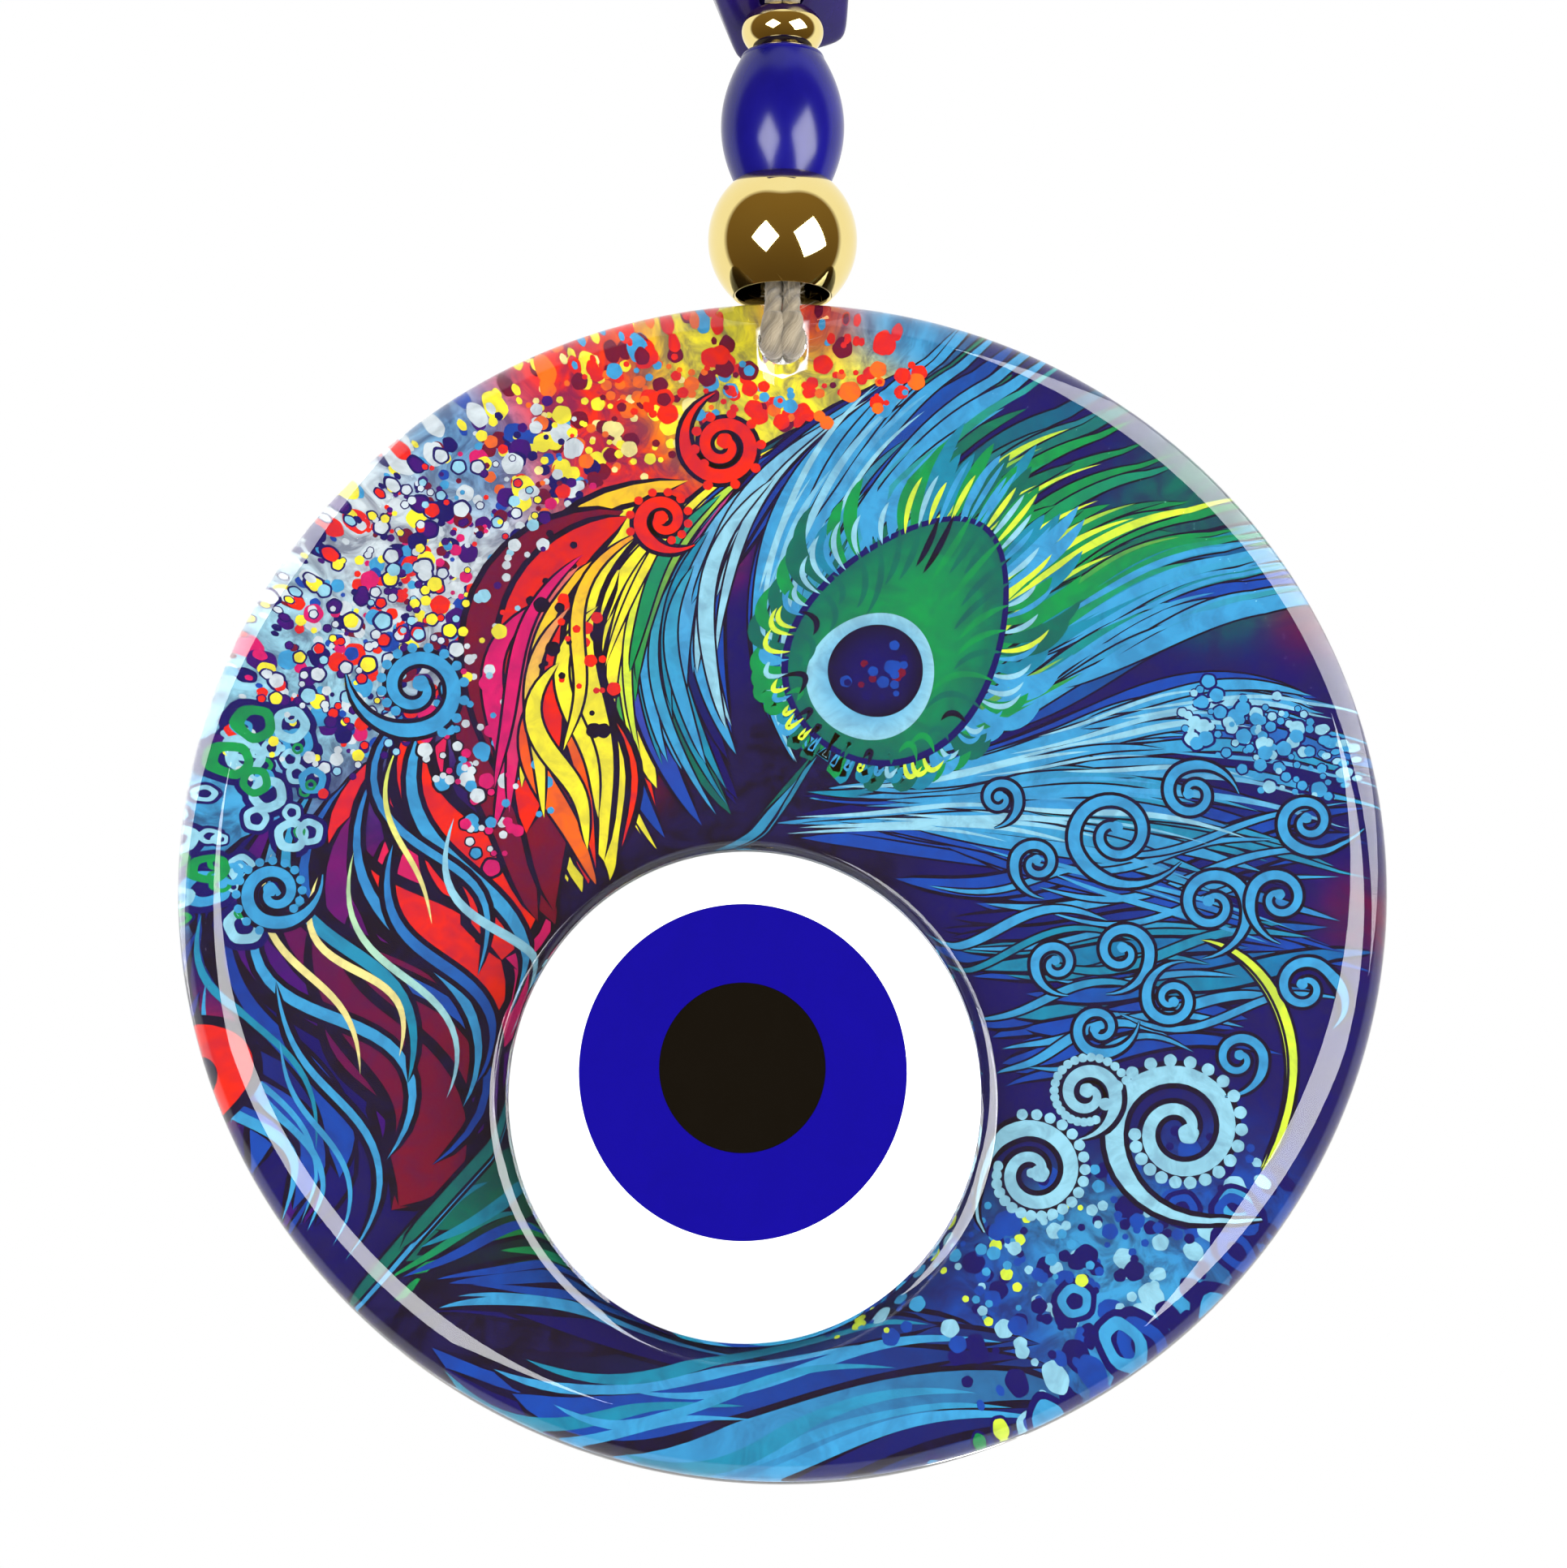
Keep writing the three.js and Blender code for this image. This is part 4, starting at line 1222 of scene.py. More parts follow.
@dataclass
class Page:
    """The round print as a flat page: u to the right and v up, both in plate radii.

    The strokes or dots of one set rise through a share of one ink layer, from the first to the last.
    """

    radius: float
    middle: float
    hole_z: float
    reach: float
    hole: float
    film_front: float
    layer: float = 0.018 * MM
    layer_share: float = 0.8
    disc_sides: int = 22
    disc_phase: Point = (37.0, 59.0)

    def place(self, uv: np.ndarray, level: np.ndarray | float) -> np.ndarray:
        """Points of the page in the model's frame.

        A point past the film's edge moves in to it, and one inside the hole moves out to its edge.

        Args:
            uv: (..., 2) places on the page.
            level: how many ink layers the point lies in front of the film.

        Returns:
            (..., 3) points.
        """
        p = uv * self.radius
        r = np.linalg.norm(p, axis=-1, keepdims=True)
        p = p * np.minimum(1, self.reach / np.maximum(r, 1e-9))
        hole = np.array([0.0, self.hole_z - self.middle])
        q = p - hole
        away = np.maximum(np.linalg.norm(q, axis=-1, keepdims=True), 1e-9)
        p = hole + q / away * np.maximum(away, self.hole)
        y = np.broadcast_to(self.film_front - self.layer * np.asarray(level, float), p.shape[:-1])
        return np.stack([p[..., 0], y, p[..., 1] + self.middle], -1)

    def strokes(self, lines: np.ndarray, widths: np.ndarray, colours: np.ndarray, level: float,
                outline: float = 0.0) -> Surface:
        """Brush strokes: ribbons along lines, each a little in front of the one before.

        Args:
            lines: (count, n, 2) places on the page.
            widths: (count, n) full widths in metres.
            colours: (count, n, 3) colours.
            level: ink layer of the first stroke.
            outline: width of the dark line at each side, in metres, which lies just under its stroke.

        Returns:
            The ribbons as one surface.
        """
        if outline:
            lines = np.repeat(lines, 2, 0)
            dark = np.broadcast_to(np.array(NIGHT), colours.shape)
            colours = np.stack([dark, colours], 1).reshape(lines.shape[:2] + (3,))
            under = widths + 2 * outline * np.minimum(1, 3 * widths / np.maximum(widths.max(), 1e-9))
            widths = np.stack([under, widths], 1).reshape(lines.shape[:2])
        count, n = lines.shape[:2]
        way = unit(np.gradient(lines, axis=1))
        side = np.stack([way[..., 1], -way[..., 0]], -1) * (widths / 2 / self.radius)[..., None]
        uv = np.stack([lines - side, lines, lines + side], 2)
        levels = level + self.layer_share * np.arange(count)[:, None, None] / count
        points = self.place(uv, np.broadcast_to(levels, (count, n, 3)))
        paint = np.concatenate([colours, np.ones((count, n, 1))], -1)
        return Surface.grids(points, paint=np.repeat(paint[:, :, None], 3, 2))

    def discs(self, centres: np.ndarray, outer: np.ndarray, inner: np.ndarray, colours: np.ndarray,
              level: float, wobble: float = 0.08) -> Surface:
        """Dots and rings: an inner and an outer outline round each centre, a little out of round.

        Args:
            centres: (count, 2) places on the page.
            outer: (count,) outer radii in metres.
            inner: (count,) inner radii in metres, 0 for a full dot.
            colours: (count, 3) colours.
            level: ink layer of the first dot.
            wobble: how far out of round the outlines are, as a share.

        Returns:
            The dots as one surface.
        """
        count, sides = len(centres), self.disc_sides
        a = np.linspace(0, 2 * np.pi, sides, endpoint=False)
        phase = (centres * self.disc_phase).sum(1)[:, None]
        shape = 1 + wobble * np.sin(2 * a + phase) * np.cos(3 * a - 2 * phase)
        r = np.stack([inner, outer], 1)[:, :, None] * shape[:, None] / self.radius
        uv = centres[:, None, None] + np.stack([r * np.cos(a), r * np.sin(a)], -1)
        levels = level + self.layer_share * np.arange(count)[:, None, None] / count
        points = self.place(uv, np.broadcast_to(levels, (count, 2, sides)))
        paint = np.concatenate([colours, np.ones((count, 1))], -1)[:, None, None]
        paint = np.broadcast_to(paint, (count, 2, sides, 4))
        return Surface.grids(points, wrap_columns=True, paint=paint)


def bezier(corners: np.ndarray, t: np.ndarray) -> np.ndarray:
    """Cubic Bezier lines: the corners weighted by (1-t)^3, 3t(1-t)^2, 3t^2(1-t) and t^3.

    Args:
        corners: (count, 4, 2) corner points.
        t: (count, n) places along each line.

    Returns:
        (count, n, 2) points.
    """
    weights = np.stack([(1 - t) ** 3, 3 * t * (1 - t) ** 2, 3 * t**2 * (1 - t), t**3], -1)
    return np.einsum("cnk,ckd->cnd", weights, corners)


@dataclass(frozen=True)
class Stream:
    """Many strokes that flow between a first guide line and a last one, like the barbs of a feather."""

    first: tuple[Point, Point, Point, Point]
    last: tuple[Point, Point, Point, Point]
    count: int
    width: float
    colours: tuple[Colour, ...]
    taper: Taper = Taper.LEAF
    level: float = 0.0
    span: float = 0.5
    outline: float = 0.0
    sway: float = 0.012
    mingle: float = 0.6
    seed: int = 1
    steps: int = 24

    def surface(self, page: Page) -> Surface:
        """The stream's ribbons.

        Stroke k follows the Bezier line whose corners lie between the guides' at its share of the way.
        It covers about `span` of that line, from a random start, and bows in a flat S, as one sine wave.
        """
        draw = np.random.default_rng(self.seed)
        share = (np.arange(self.count) + draw.uniform(0.2, 0.8, self.count)) / self.count
        order = draw.permutation(self.count)
        share = share[order][:, None, None]
        corners = np.array(self.first) * (1 - share) + np.array(self.last) * share
        tau = np.linspace(0, 1, self.steps)[None]
        size = np.minimum(1, self.span * draw.uniform(0.8, 1.25, (self.count, 1)))
        line = bezier(corners, (1 - size) * draw.random((self.count, 1)) + size * tau)
        way = unit(np.gradient(line, axis=1))
        bow = self.sway * size * draw.uniform(0.5, 1.4, (self.count, 1)) * np.sin(2 * np.pi * tau)
        line = line + np.stack([way[..., 1], -way[..., 0]], -1) * bow[..., None]
        wide = self.width * draw.uniform(0.6, 1.3, (self.count, 1)) * self.taper.widths(tau)
        palette = np.array(self.colours)
        spot = share[:, 0, 0] * len(palette) - 0.5 + draw.normal(0, self.mingle, self.count)
        one, two = (
            palette[np.clip(np.rint(place), 0, len(palette) - 1).astype(int)][:, None]
            for place in (spot, spot + draw.choice([-1, 1], self.count))
        )
        blend = (draw.uniform(0, 0.8, (self.count, 1)) * tau**1.5)[..., None]
        return page.strokes(line, wide, one * (1 - blend) + two * blend, self.level, self.outline)


@dataclass(frozen=True)
class Spots:
    """Dots or rings strewn over an oval."""

    middle: Point
    spread: Point
    count: int
    small: float
    large: float
    colours: tuple[Colour, ...]
    level: float = 3.0
    hollow: float = 0.0
    halo: Colour | None = None
    tilt: float = 0.0
    seed: int = 1
    hole_berth: float = 1.1
    halo_size: float = 1.35

    def surface(self, page: Page) -> Surface:
        """The dots, thickest towards the oval's middle, with most of them small.

        A dot that would reach the plate's hole lies on one of the others instead.
        """
        draw = np.random.default_rng(self.seed)
        a, r = draw.uniform(0, 2 * np.pi, self.count), draw.random(self.count) ** 0.6
        along = np.stack([r * np.cos(a) * self.spread[0], r * np.sin(a) * self.spread[1]], 1)
        c, s = math.cos(math.radians(self.tilt)), math.sin(math.radians(self.tilt))
        centres = np.array(self.middle) + along @ np.array([[c, s], [-s, c]])
        hole = np.array([0.0, (page.hole_z - page.middle) / page.radius])
        berth = page.hole + self.hole_berth * self.large
        near = np.linalg.norm(centres - hole, axis=1) * page.radius < berth
        centres[near] = centres[~near][:near.sum()]
        size = self.small * (self.large / self.small) ** (draw.random(self.count) ** 1.6)
        colours = np.array(self.colours)[draw.integers(0, len(self.colours), self.count)]
        dots = [page.discs(centres, size, size * self.hollow, colours, self.level)]
        if self.halo:
            rim = np.broadcast_to(np.array(self.halo), colours.shape)
            dots.insert(0, page.discs(centres, size * self.halo_size, 0 * size, rim, self.level - 0.9))
        return Surface.joined(dots)


@dataclass(frozen=True)
class Curls:
    """Scrolls, each as (u, v, radius, turns, start angle in degrees, 1 or -1 for its hand)."""

    scrolls: tuple[tuple[float, float, float, float, float, int], ...]
    width: float
    colour: Colour
    level: float = 3.0
    teeth: int = 0
    steps: int = 60
    wind: float = 0.84
    tail: float = 9.0
    tail_start: float = -0.28
    thinning: float = 0.4
    above: float = 0.9

    def surface(self, page: Page) -> Surface:
        """The scrolls as ribbons with a dot at the heart, and small dots round the outside.

        The radius falls in proportion to the way along, and before the start it grows with its square,
        which makes the tail.
        """
        u, v, radius, turns, start, hand = (column[:, None] for column in np.array(self.scrolls, float).T)
        t = np.linspace(self.tail_start, 1, self.steps)[None]
        r = radius * (1 - self.wind * np.maximum(t, 0)) + radius * self.tail * np.minimum(t, 0) ** 2
        a = np.radians(start + hand * 360 * turns * t)
        line = np.stack([u + r * np.cos(a), v + r * np.sin(a)], -1)
        thick = self.width * (radius / np.max(radius)) ** self.thinning
        wide = thick * (1 - 0.5 * np.abs(t)) * np.minimum(1, (t + 0.3) / 0.2)
        paint = np.broadcast_to(np.array(self.colour), line.shape[:2] + (3,))
        parts = [page.strokes(line, wide, paint, self.level, 0.3 * self.width)]
        hearts = line[:, -1]
        sizes = 0.55 * thick[:, 0]
        shades = np.broadcast_to(np.array(self.colour), (len(hearts), 3))
        parts.append(page.discs(hearts, sizes, 0 * sizes, shades, self.level + self.above))
        if self.teeth:
            tick = np.linspace(0.0, 0.62, self.teeth)[None]
            reach = radius * (1 - self.wind * tick) + 0.75 * self.width / page.radius
            b = np.radians(start + hand * 360 * turns * tick)
            dots = np.stack([u + reach * np.cos(b), v + reach * np.sin(b)], -1).reshape(-1, 2)
            sizes = np.repeat(0.34 * thick, self.teeth, 1).reshape(-1)
            shades = np.broadcast_to(np.array(self.colour), (len(dots), 3))
            parts.append(page.discs(dots, sizes, 0 * sizes, shades, self.level + self.above, 0.05))
        return Surface.joined(parts)


@dataclass(frozen=True)
class Egg:
    """An egg-shaped field of the feather's eye, painted from its heart to its edge."""

    middle: Point
    length: float
    breadth: float
    tilt: float
    heart: Colour
    edge: Colour
    level: float
    point: float = 0.25
    sides: int = 72
    rings: int = 9

    def outline(self, a: np.ndarray, scale: np.ndarray | float = 1.0) -> np.ndarray:
        """Places on the outline: breadth times the sine, less to the top, and length times the cosine."""
        x = self.breadth * scale * np.sin(a) * (1 - self.point * np.cos(a))
        y = self.length * scale * np.cos(a)
        c, s = math.cos(math.radians(self.tilt)), math.sin(math.radians(self.tilt))
        return np.stack([self.middle[0] + c * x + s * y, self.middle[1] - s * x + c * y], -1)

    def surface(self, page: Page) -> Surface:
        """The field as rings from its heart outwards."""
        a = np.linspace(0, 2 * np.pi, self.sides, endpoint=False)
        t = np.linspace(0, 1, self.rings)[:, None]
        colour = np.array(self.heart) * (1 - t**2) + np.array(self.edge) * t**2
        paint = np.concatenate([colour, np.ones((self.rings, 1))], 1)[None, :, None]
        paint = np.broadcast_to(paint, (1, self.rings, self.sides, 4))
        points = page.place(self.outline(a[None], t), self.level)
        return Surface.grids(points[None], wrap_columns=True, paint=paint)

    def fringe(self, page: Page, count: int, reach: float, width: float, colours: tuple[Colour, ...],
               level: float, seed: int) -> Surface:
        """Short barbs that leave the outline and bend towards the egg's point.

        Args:
            page: the page that they are on.
            count: how many.
            reach: their length on the page.
            width: their width in metres.
            colours: the colours that they are drawn in.
            level: their ink layer.
            seed: start of the random draws.

        Returns:
            The barbs as one surface.
        """
        draw = np.random.default_rng(seed)
        a = np.linspace(0, 2 * np.pi, count, endpoint=False) + draw.normal(0, 0.02, count)
        foot, out = self.outline(a), self.outline(a, 1.2)
        way = unit(out - foot)
        up = np.array([math.sin(math.radians(self.tilt)), math.cos(math.radians(self.tilt))])
        size = reach * draw.uniform(0.6, 1.3, (count, 1))
        shares = ((-0.2, 0), (0.4, 0), (0.7, 0.3), (0.7, 0.8))
        corners = np.stack([foot + size * (ahead * way + rise * up) for ahead, rise in shares], 1)
        steps = 12
        t = np.repeat(np.linspace(0, 1, steps)[None], count, 0)
        shades = np.array(colours)[draw.integers(0, len(colours), count)][:, None]
        paint = np.broadcast_to(shades, (count, steps, 3))
        return page.strokes(bezier(corners, t), width * Taper.LEAF.widths(t), paint, level)


# Pools of the print's ground colour, as (u, v, radius, colour).
POOLS = (
    (-0.62, 0.54, 0.22, PEARL), (-0.8, 0.36, 0.18, ICE), (-0.93, 0.08, 0.14, SKY),
    (-0.52, 0.72, 0.12, SKY), (-0.33, 0.78, 0.17, RED), (-0.2, 0.6, 0.1, RED),
    (-0.1, 0.86, 0.13, YELLOW), (0.1, 0.84, 0.1, YELLOW), (0.05, 0.97, 0.08, RED),
    (0.2, 0.97, 0.1, SKY), (-0.42, 0.42, 0.12, WINE), (-0.3, 0.25, 0.12, WINE),
    (-0.15, 0.4, 0.12, NAVY), (-0.55, 0.1, 0.2, PURPLE), (-0.7, -0.1, 0.18, WINE),
    (-0.86, -0.16, 0.12, NAVY), (-0.95, -0.3, 0.09, RED), (-0.76, -0.5, 0.22, NAVY),
    (-0.45, -0.72, 0.25, NIGHT), (-0.55, -0.3, 0.15, NIGHT), (-0.45, 0.05, 0.15, NIGHT),
    (0.0, -0.78, 0.3, NIGHT), (0.05, -0.95, 0.14, BLUE), (0.35, -0.76, 0.16, BLUE),
    (0.56, -0.68, 0.18, SKY), (0.7, -0.52, 0.14, BLUE), (0.82, -0.3, 0.2, NAVY),
    (0.5, -0.35, 0.2, NAVY), (0.5, -0.05, 0.25, NAVY), (0.85, 0.05, 0.2, NAVY), (0.88, 0.3, 0.14, NAVY),
    (0.55, 0.3, 0.18, NAVY), (0.42, 0.75, 0.2, NAVY), (0.7, 0.6, 0.15, TEAL), (0.2, 0.4, 0.2, NAVY),
    (0.1, 0.62, 0.15, NAVY), (0.0, 0.1, 0.2, NIGHT), (-0.3, 0.0, 0.12, NIGHT), (0.9, 0.44, 0.07, WINE),
    (0.95, -0.05, 0.07, WINE),
)


@dataclass
class Print:
    """The film behind the glass and the ink on it: a feather among flames, scrolls and dots."""

    plate: Plate
    edge_gap: float = 0.1 * MM
    hole_gap: float = 0.15 * MM
    sunk: float = 0.17 * MM
    film_sides: int = 260
    film_rings: int = 110

    def __post_init__(self) -> None:
        """Lay the page out on the film."""
        low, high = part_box("printed_film")
        p = self.plate
        self.film_back = high[1]
        reach, hole = (high[2] - low[2]) / 2 - self.edge_gap, p.hole_radius + self.hole_gap
        self.page = Page(p.radius, p.middle, p.hole_z, reach, hole, low[1] + self.sunk)

    def film(self) -> None:
        """The film: a disc whose ground mixes the pools' colours.

        Each pool is weighed by exp(-2 (distance / radius)^2).
        """
        page, radius = self.page, self.page.reach + self.edge_gap
        a = np.linspace(0, 2 * np.pi, self.film_sides, endpoint=False)
        r = np.concatenate([np.linspace(0, radius, self.film_rings), [radius, 0]])[:, None]
        y = np.concatenate([np.full(self.film_rings, page.film_front), [self.film_back] * 2])[:, None]
        x, z = r * np.cos(a), r * np.sin(a)
        pools = np.array([(u, v, size) for u, v, size, _ in POOLS])
        u, v = x[..., None] / page.radius, z[..., None] / page.radius
        away = np.hypot(u - pools[:, 0], v - pools[:, 1])
        weight = np.exp(-2 * (away / pools[:, 2]) ** 2) + 1e-9
        tone = (weight / weight.sum(-1, keepdims=True)) @ np.array([colour for *_, colour in POOLS])
        paint = np.concatenate([tone, np.ones(tone.shape[:2] + (1,))], -1)
        points = np.stack([x, y + 0 * x, z + page.middle], -1)
        ground = Ink("ground_ink", 0.7).material()
        crease = self.plate.crease
        piece = Surface.grid(points, wrap_columns=True, paint=paint).piece("film_ground", ground, crease)
        bored(piece, self.plate.hole_radius, 0, self.plate.hole_z, crease)
        stand_in(piece, "plate", "printed_film")

    def streams(self) -> dict[str, list[Stream]]:
        """The brush strokes, by the piece that holds them."""
        flow, thin = Taper.FLAME, 0.22 * MM
        plume = (((0.02, 0.2), (-0.16, 0.45), (0.02, 0.84), (0.36, 1.02)),
                 ((0.1, 0.22), (0.48, 0.2), (0.66, 0.58), (1.04, 0.42)))
        side = (((0.08, 0.2), (0.46, 0.16), (0.64, 0.46), (0.98, 0.28)),
                ((-0.07, 0.05), (0.3, 0.14), (0.5, -0.06), (0.98, -0.16)))
        inner = (((-0.01, 0.18), (-0.2, 0.42), (-0.12, 0.66), (0.24, 0.9)),
                 ((-0.2, 0.0), (-0.42, 0.26), (-0.36, 0.52), (-0.06, 0.72)))
        flame = (((-0.22, 0.0), (-0.44, 0.24), (-0.36, 0.5), (-0.1, 0.72)),
                 ((-0.38, -0.1), (-0.62, 0.14), (-0.46, 0.44), (-0.3, 0.62)))
        low = (((-0.42, -0.3), (-0.34, -0.1), (-0.66, 0.1), (-0.5, 0.4)),
               ((-0.72, -0.66), (-0.6, -0.36), (-0.92, -0.24), (-0.9, 0.06)))
        blade = (((-0.68, -0.66), (-0.52, -0.52), (-0.44, -0.46), (-0.36, -0.4)),
                 ((-0.6, -0.74), (-0.4, -0.62), (-0.2, -0.84), (0.12, -0.86)))
        wave = (((-0.62, -0.7), (-0.3, -0.94), (0.0, -0.7), (0.4, -0.74)),
                ((-0.46, -0.88), (-0.2, -1.06), (0.15, -0.92), (0.5, -0.86)))
        east = (((0.1, 0.04), (0.4, 0.08), (0.66, 0.02), (0.98, 0.16)),
                ((0.34, -0.4), (0.44, -0.2), (0.74, -0.36), (0.94, -0.28)))
        west = (((-0.72, -0.66), (-0.66, -0.4), (-0.9, -0.2), (-0.94, 0.02)),
                ((-0.8, -0.6), (-0.86, -0.4), (-0.98, -0.26), (-0.99, -0.1)))
        return {
            "plume_strokes": [
                Stream(*plume, 40, 3.4 * MM, (BLUE, TEAL, GREEN, GREEN, TEAL, BLUE), level=0.2, span=0.55,
                       outline=thin, seed=11),
                Stream(*plume, 66, 1.7 * MM, (SKY, SKY, TEAL, GREEN, GREEN, CYAN, SKY), level=1.2,
                       span=0.5, outline=thin, seed=12),
                Stream(*plume, 54, 0.8 * MM, (ICE, SKY, GREEN, LIME, LIME, GREEN, SKY), level=2.2,
                       span=0.4, seed=13),
                Stream(*side, 34, 2.6 * MM, (BLUE, SKY, BLUE, NAVY, BLUE), level=0.2, span=0.6,
                       outline=thin, seed=14),
                Stream(*side, 44, 1.3 * MM, (SKY, SKY, CYAN, SKY, BLUE), level=1.2, span=0.5,
                       outline=thin, seed=15),
                Stream(*side, 26, 0.55 * MM, (ICE, SKY, ICE, SKY), level=2.2, span=0.4, seed=16),
            ],
            "flame_strokes": [
                Stream(*inner, 30, 3.2 * MM, (BLUE, NAVY, TEAL, BLUE, RED, YELLOW), level=0.2, span=0.6,
                       outline=0.4 * MM, seed=21),
                Stream(*inner, 34, 1.4 * MM, (ICE, SKY, CYAN, SKY, GREEN, LIME, YELLOW), level=1.2,
                       span=0.5, outline=thin, mingle=0.8, seed=22),
                Stream(*flame, 13, 6.8 * MM, (YELLOW, RED, YELLOW, RED, WINE), level=2.0, span=0.8,
                       outline=0.7 * MM, sway=0.07, mingle=0.3, seed=24),
                Stream(*flame, 9, 2.0 * MM, (YELLOW, ORANGE, RED, YELLOW, MAGENTA), level=2.9, span=0.5,
                       outline=0.3 * MM, sway=0.05, seed=25),
                Stream(*low, 15, 8.0 * MM, (RED, MAGENTA, RED, PURPLE, WINE, NAVY), flow, 0.3, 0.7,
                       1.2 * MM, 0.07, mingle=0.5, seed=27),
                Stream(*low, 8, 1.2 * MM, (SKY, BLUE, CYAN, SKY, SKY), level=1.3, span=0.75,
                       outline=0.6 * MM, sway=0.07, seed=28),
                Stream(*low, 5, 0.8 * MM, (ICE, LIME, CREAM), level=2.2, span=0.5, sway=0.06, seed=29),
            ],
            "wave_strokes": [
                Stream(*blade, 17, 4.4 * MM, (TEAL, NIGHT, GREEN, NIGHT, NAVY), level=0.2, span=0.8,
                       outline=0.5 * MM, seed=31),
                Stream(*blade, 10, 1.1 * MM, (CYAN, GREEN, BLUE, SKY), level=1.2, span=0.6, seed=32),
                Stream(*wave, 12, 4.2 * MM, (NIGHT, BLUE, NIGHT, NAVY, SKY, NAVY), level=0.3, span=0.8,
                       outline=0.6 * MM, sway=0.03, seed=33),
                Stream(*wave, 9, 1.2 * MM, (SKY, CYAN, SKY), level=1.4, span=0.6, sway=0.03, seed=34),
                Stream(*east, 26, 2.2 * MM, (BLUE, NAVY, BLUE, CYAN, BLUE), level=0.4, span=0.6,
                       outline=0.4 * MM, sway=0.03, seed=35),
                Stream(*east, 18, 0.9 * MM, (SKY, SKY, CYAN, SKY), level=1.4, span=0.5, outline=thin,
                       sway=0.04, seed=36),
                Stream(*west, 9, 2.6 * MM, (BLUE, NAVY, PURPLE, BLUE), flow, 0.2, 0.7, 0.5 * MM, 0.05,
                       seed=39),
                Stream(*west, 6, 0.8 * MM, (SKY, CYAN, SKY), level=1.2, span=0.6, sway=0.05, seed=40),
                Stream(((-0.7, -0.7), (-0.55, -0.5), (-0.36, -0.34), (0.05, 0.22)),
                       ((-0.69, -0.71), (-0.54, -0.51), (-0.35, -0.35), (0.06, 0.21)), 3, 1.5 * MM,
                       (TEAL, SKY), Taper.BAND, 3.2, 1.0, 0.3 * MM, 0.0, seed=37),
                Stream(((0.69, -0.1), (0.8, -0.12), (0.9, -0.3), (0.78, -0.48)),
                       ((0.69, -0.1), (0.81, -0.11), (0.91, -0.3), (0.78, -0.49)), 2, 1.3 * MM,
                       (LIME, LIME), level=3.2, span=1.0, outline=0.3 * MM, sway=0.0, seed=38),
            ],
        }

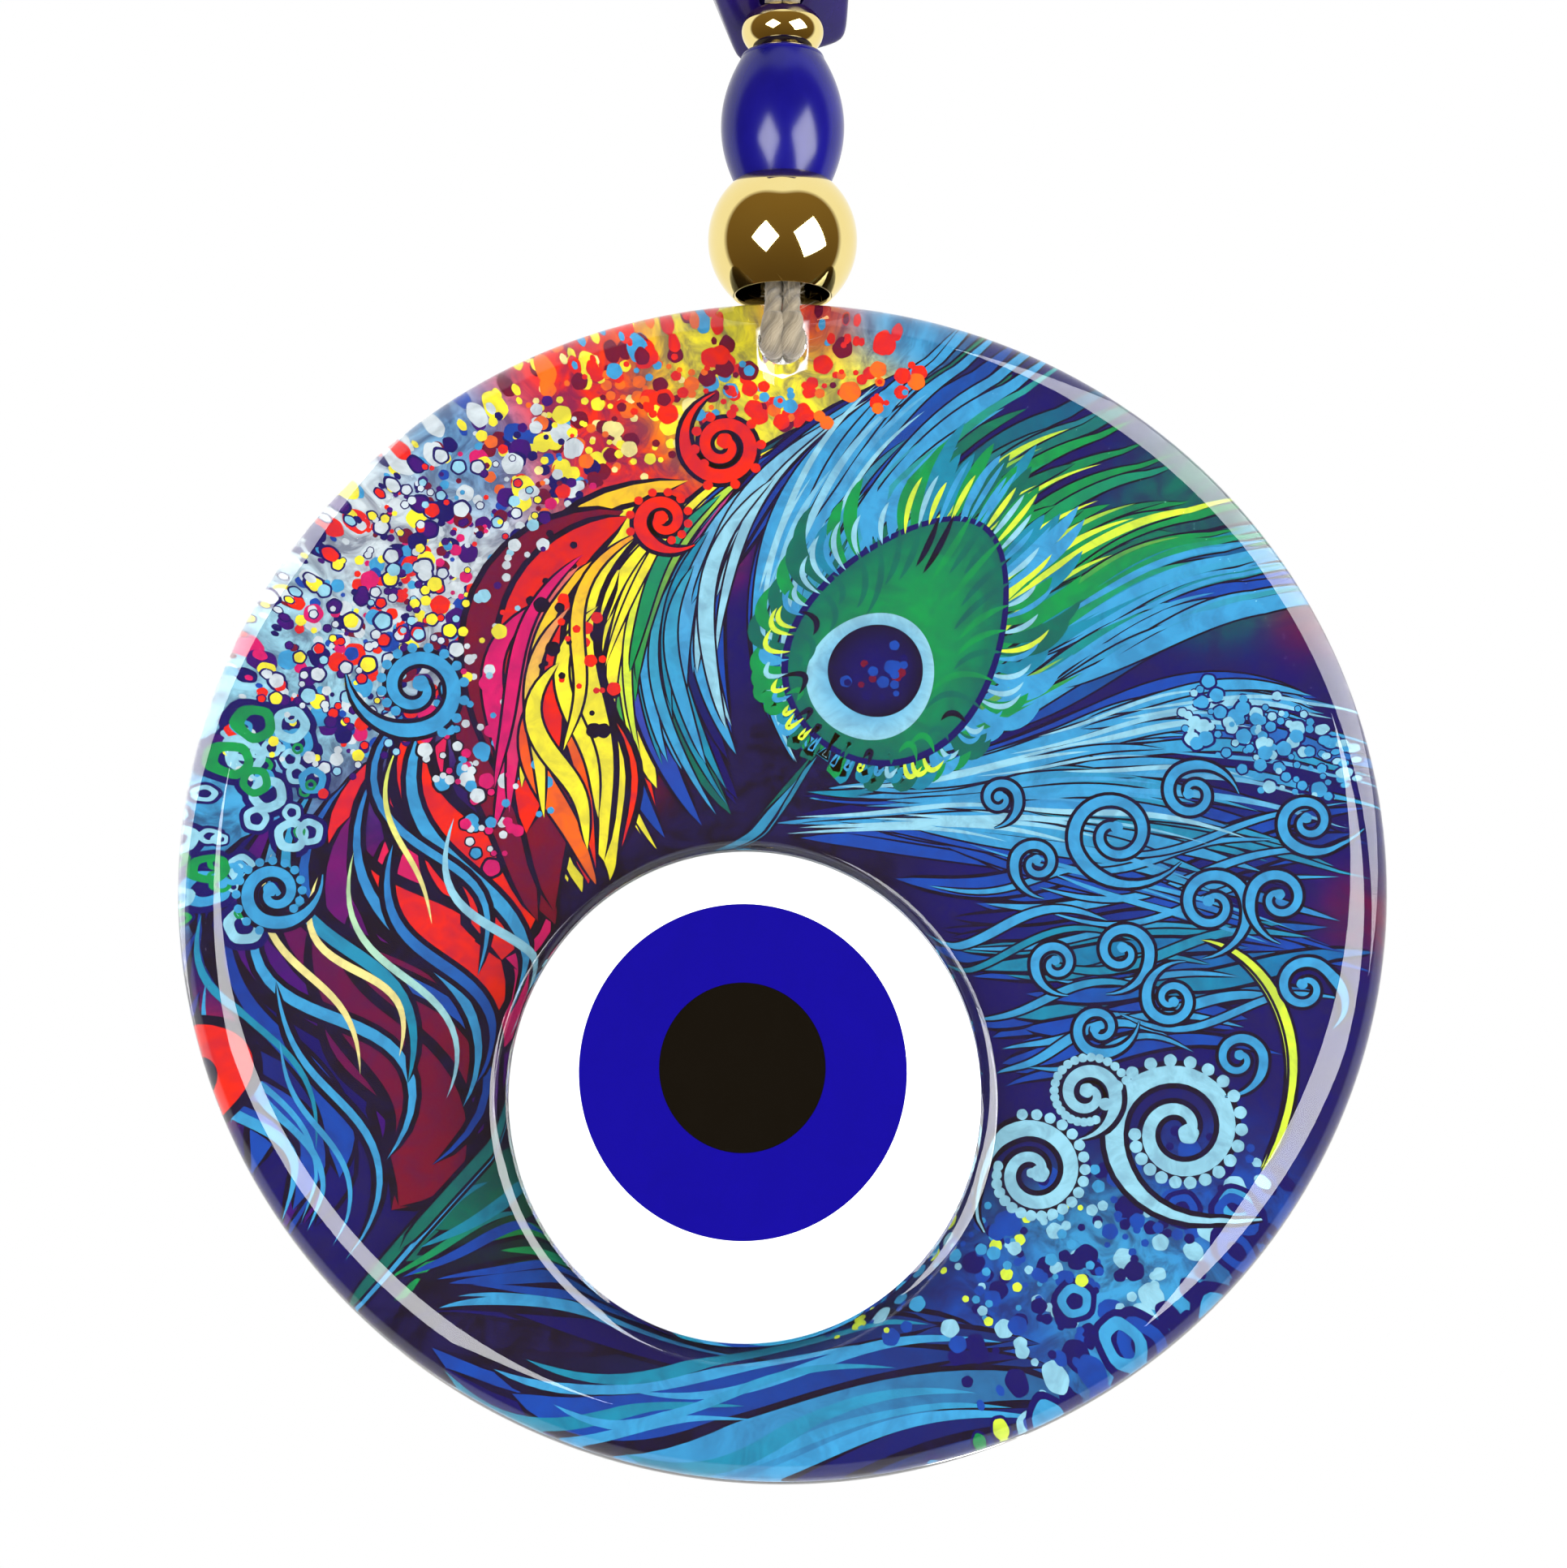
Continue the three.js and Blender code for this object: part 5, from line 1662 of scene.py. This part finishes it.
    def dots(self) -> list[Spots | Curls]:
        """The dots, rings and scrolls."""
        many = (NAVY, MAGENTA, PEARL, RED, YELLOW, BLUE, SKY, PURPLE, NAVY, PEARL, WINE)
        return [
            Spots((-0.6, 0.52), (0.38, 0.21), 720, 0.25 * MM, 1.3 * MM, many, 1.4, tilt=48, seed=41),
            Spots((-0.66, 0.44), (0.36, 0.19), 250, 0.3 * MM, 0.85 * MM,
                  (PEARL, ICE, RED, PEARL, YELLOW, PURPLE), 2.8, 0.0, NAVY, 50, 42),
            Spots((-0.88, 0.1), (0.2, 0.1), 60, 0.6 * MM, 2.2 * MM, (SKY, ICE, GREEN, ICE), 2.8, 0.5,
                  NAVY, 70, 43),
            Spots((-0.33, 0.78), (0.2, 0.15), 170, 0.3 * MM, 1.1 * MM,
                  (YELLOW, ORANGE, YELLOW, CREAM, WINE), 1.4, tilt=30, seed=44),
            Spots((-0.05, 0.88), (0.3, 0.1), 230, 0.3 * MM, 1.2 * MM, (RED, RED, ORANGE, SKY, RED, WINE),
                  3.2, seed=45),
            Spots((-0.5, 0.2), (0.1, 0.2), 90, 0.3 * MM, 1.1 * MM, (PEARL, MAGENTA, SKY), 2.8, 0.0, NIGHT,
                  20, 46),
            Spots((-0.36, 0.44), (0.07, 0.2), 40, 0.3 * MM, 0.9 * MM, (NIGHT, RED, NIGHT), 3.2, tilt=18,
                  seed=47),
            Spots((0.55, -0.66), (0.32, 0.2), 260, 0.4 * MM, 1.5 * MM, (NAVY, BLUE, ICE, NAVY), 1.4,
                  tilt=35, seed=48),
            Spots((0.56, -0.7), (0.28, 0.12), 9, 1.6 * MM, 2.8 * MM, (SKY, SKY, BLUE), 3.0, 0.5, NAVY, 40,
                  53),
            Spots((0.8, 0.24), (0.16, 0.08), 120, 0.3 * MM, 0.9 * MM, (SKY, ICE, SKY), 3.0, 0.0, NAVY,
                  -30, 50),
            Spots((0.32, -0.62), (0.3, 0.12), 120, 0.3 * MM, 1.0 * MM, (SKY, LIME, ICE, BLUE), 3.0,
                  tilt=20, seed=51),
            Spots((0.36, -0.92), (0.3, 0.04), 30, 0.6 * MM, 2.0 * MM, (SKY, LIME, GREEN, SKY), 3.0, 0.0,
                  NAVY, 20, 52),
            Curls(((0.55, 0.08, 0.07, 1.35, 200, -1), (0.42, 0.03, 0.036, 1.2, 160, -1),
                   (0.71, -0.04, 0.055, 1.3, 30, 1), (0.82, -0.03, 0.045, 1.2, 150, -1),
                   (0.56, -0.12, 0.045, 1.2, 10, 1), (0.45, -0.14, 0.034, 1.2, 170, -1),
                   (0.86, -0.18, 0.045, 1.2, 60, 1), (0.64, -0.2, 0.04, 1.3, 200, 1),
                   (0.36, 0.14, 0.03, 1.2, 20, 1), (0.68, 0.15, 0.045, 1.2, 120, 1),
                   (0.87, 0.1, 0.045, 1.3, 220, -1), (0.52, -0.25, 0.04, 1.2, 250, -1),
                   (0.75, -0.3, 0.04, 1.2, 10, 1)), 1.25 * MM, SKY, 4.0),
            Curls(((0.65, -0.42, 0.105, 1.5, 160, -1), (0.41, -0.49, 0.075, 1.3, 100, -1),
                   (0.5, -0.36, 0.045, 1.2, 20, 1)), 2.0 * MM, ICE, 4.0, 22),
            Curls(((-0.61, 0.33, 0.07, 1.3, 300, 1), (-0.84, -0.02, 0.05, 1.3, 250, -1)),
                  1.6 * MM, SKY, 4.0, 14),
            Curls(((-0.1, 0.75, 0.055, 1.5, 250, 1), (-0.2, 0.62, 0.04, 1.2, 200, -1)),
                  1.6 * MM, RED, 4.0, 10),
            Curls(((-0.95, -0.33, 0.09, 1.2, 150, -1),), 3.0 * MM, RED, 3.4),
        ]

    def feather_eye(self) -> Surface:
        """The feather's eye: fringes, then eggs of green, light blue and near-black set in each other."""
        page, tilt = self.page, 34.0
        green = Egg((0.205, 0.42), 0.225, 0.155, tilt, GREEN, TEAL, 5.4)
        rim = Egg((0.205, 0.42), 0.235, 0.166, tilt, NAVY, NAVY, 4.6)
        ring = Egg((0.15, 0.352), 0.112, 0.104, tilt, SKY, ICE, 6.2, 0.1)
        heart = Egg((0.156, 0.36), 0.08, 0.079, tilt, NAVY, NIGHT, 7.0, 0.05)
        parts = [
            rim.fringe(page, 64, 0.1, 1.5 * MM, (SKY, TEAL, GREEN, CYAN), 3.4, 61),
            rim.fringe(page, 60, 0.06, 0.6 * MM, (ICE, LIME, SKY), 4.2, 62),
            rim.surface(page), green.surface(page),
            green.fringe(page, 34, -0.07, 0.7 * MM, (TEAL, GREEN, NIGHT, TEAL), 5.8, 63),
            ring.surface(page), heart.surface(page),
            Spots((0.156, 0.36), (0.055, 0.055), 26, 0.3 * MM, 0.8 * MM, (BLUE, WINE, BLUE, NAVY), 7.4,
                  seed=64).surface(page),
        ]
        return Surface.joined(parts)

    def build(self) -> None:
        """Print the film."""
        self.film()
        ink = Ink("stroke_ink", 0.3).material()
        sets = {name: [s.surface(self.page) for s in streams] for name, streams in self.streams().items()}
        sets["dots_and_scrolls"] = [d.surface(self.page) for d in self.dots()]
        sets["feather_eye"] = [self.feather_eye()]
        for name, parts in sets.items():
            piece = Surface.joined(parts).piece(name, ink, 180, closed=False)
            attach(piece, "plate")
            log.info("%s: %d faces", name, len(piece.data.polygons))


# ---- Build ----------------------------------------------------------------------------------------


def main() -> None:
    """Build the studio and every sub-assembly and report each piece."""
    logging.basicConfig(level=logging.INFO, format="%(name)s: %(message)s")
    Studio().build()
    Twine().build()
    Beads().build()
    plate = Plate()
    plate.build()
    Print(plate).build()
    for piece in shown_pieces():
        log.info("%s: %d faces", piece.name, len(piece.data.polygons))


if __name__ == "__main__":
    main()
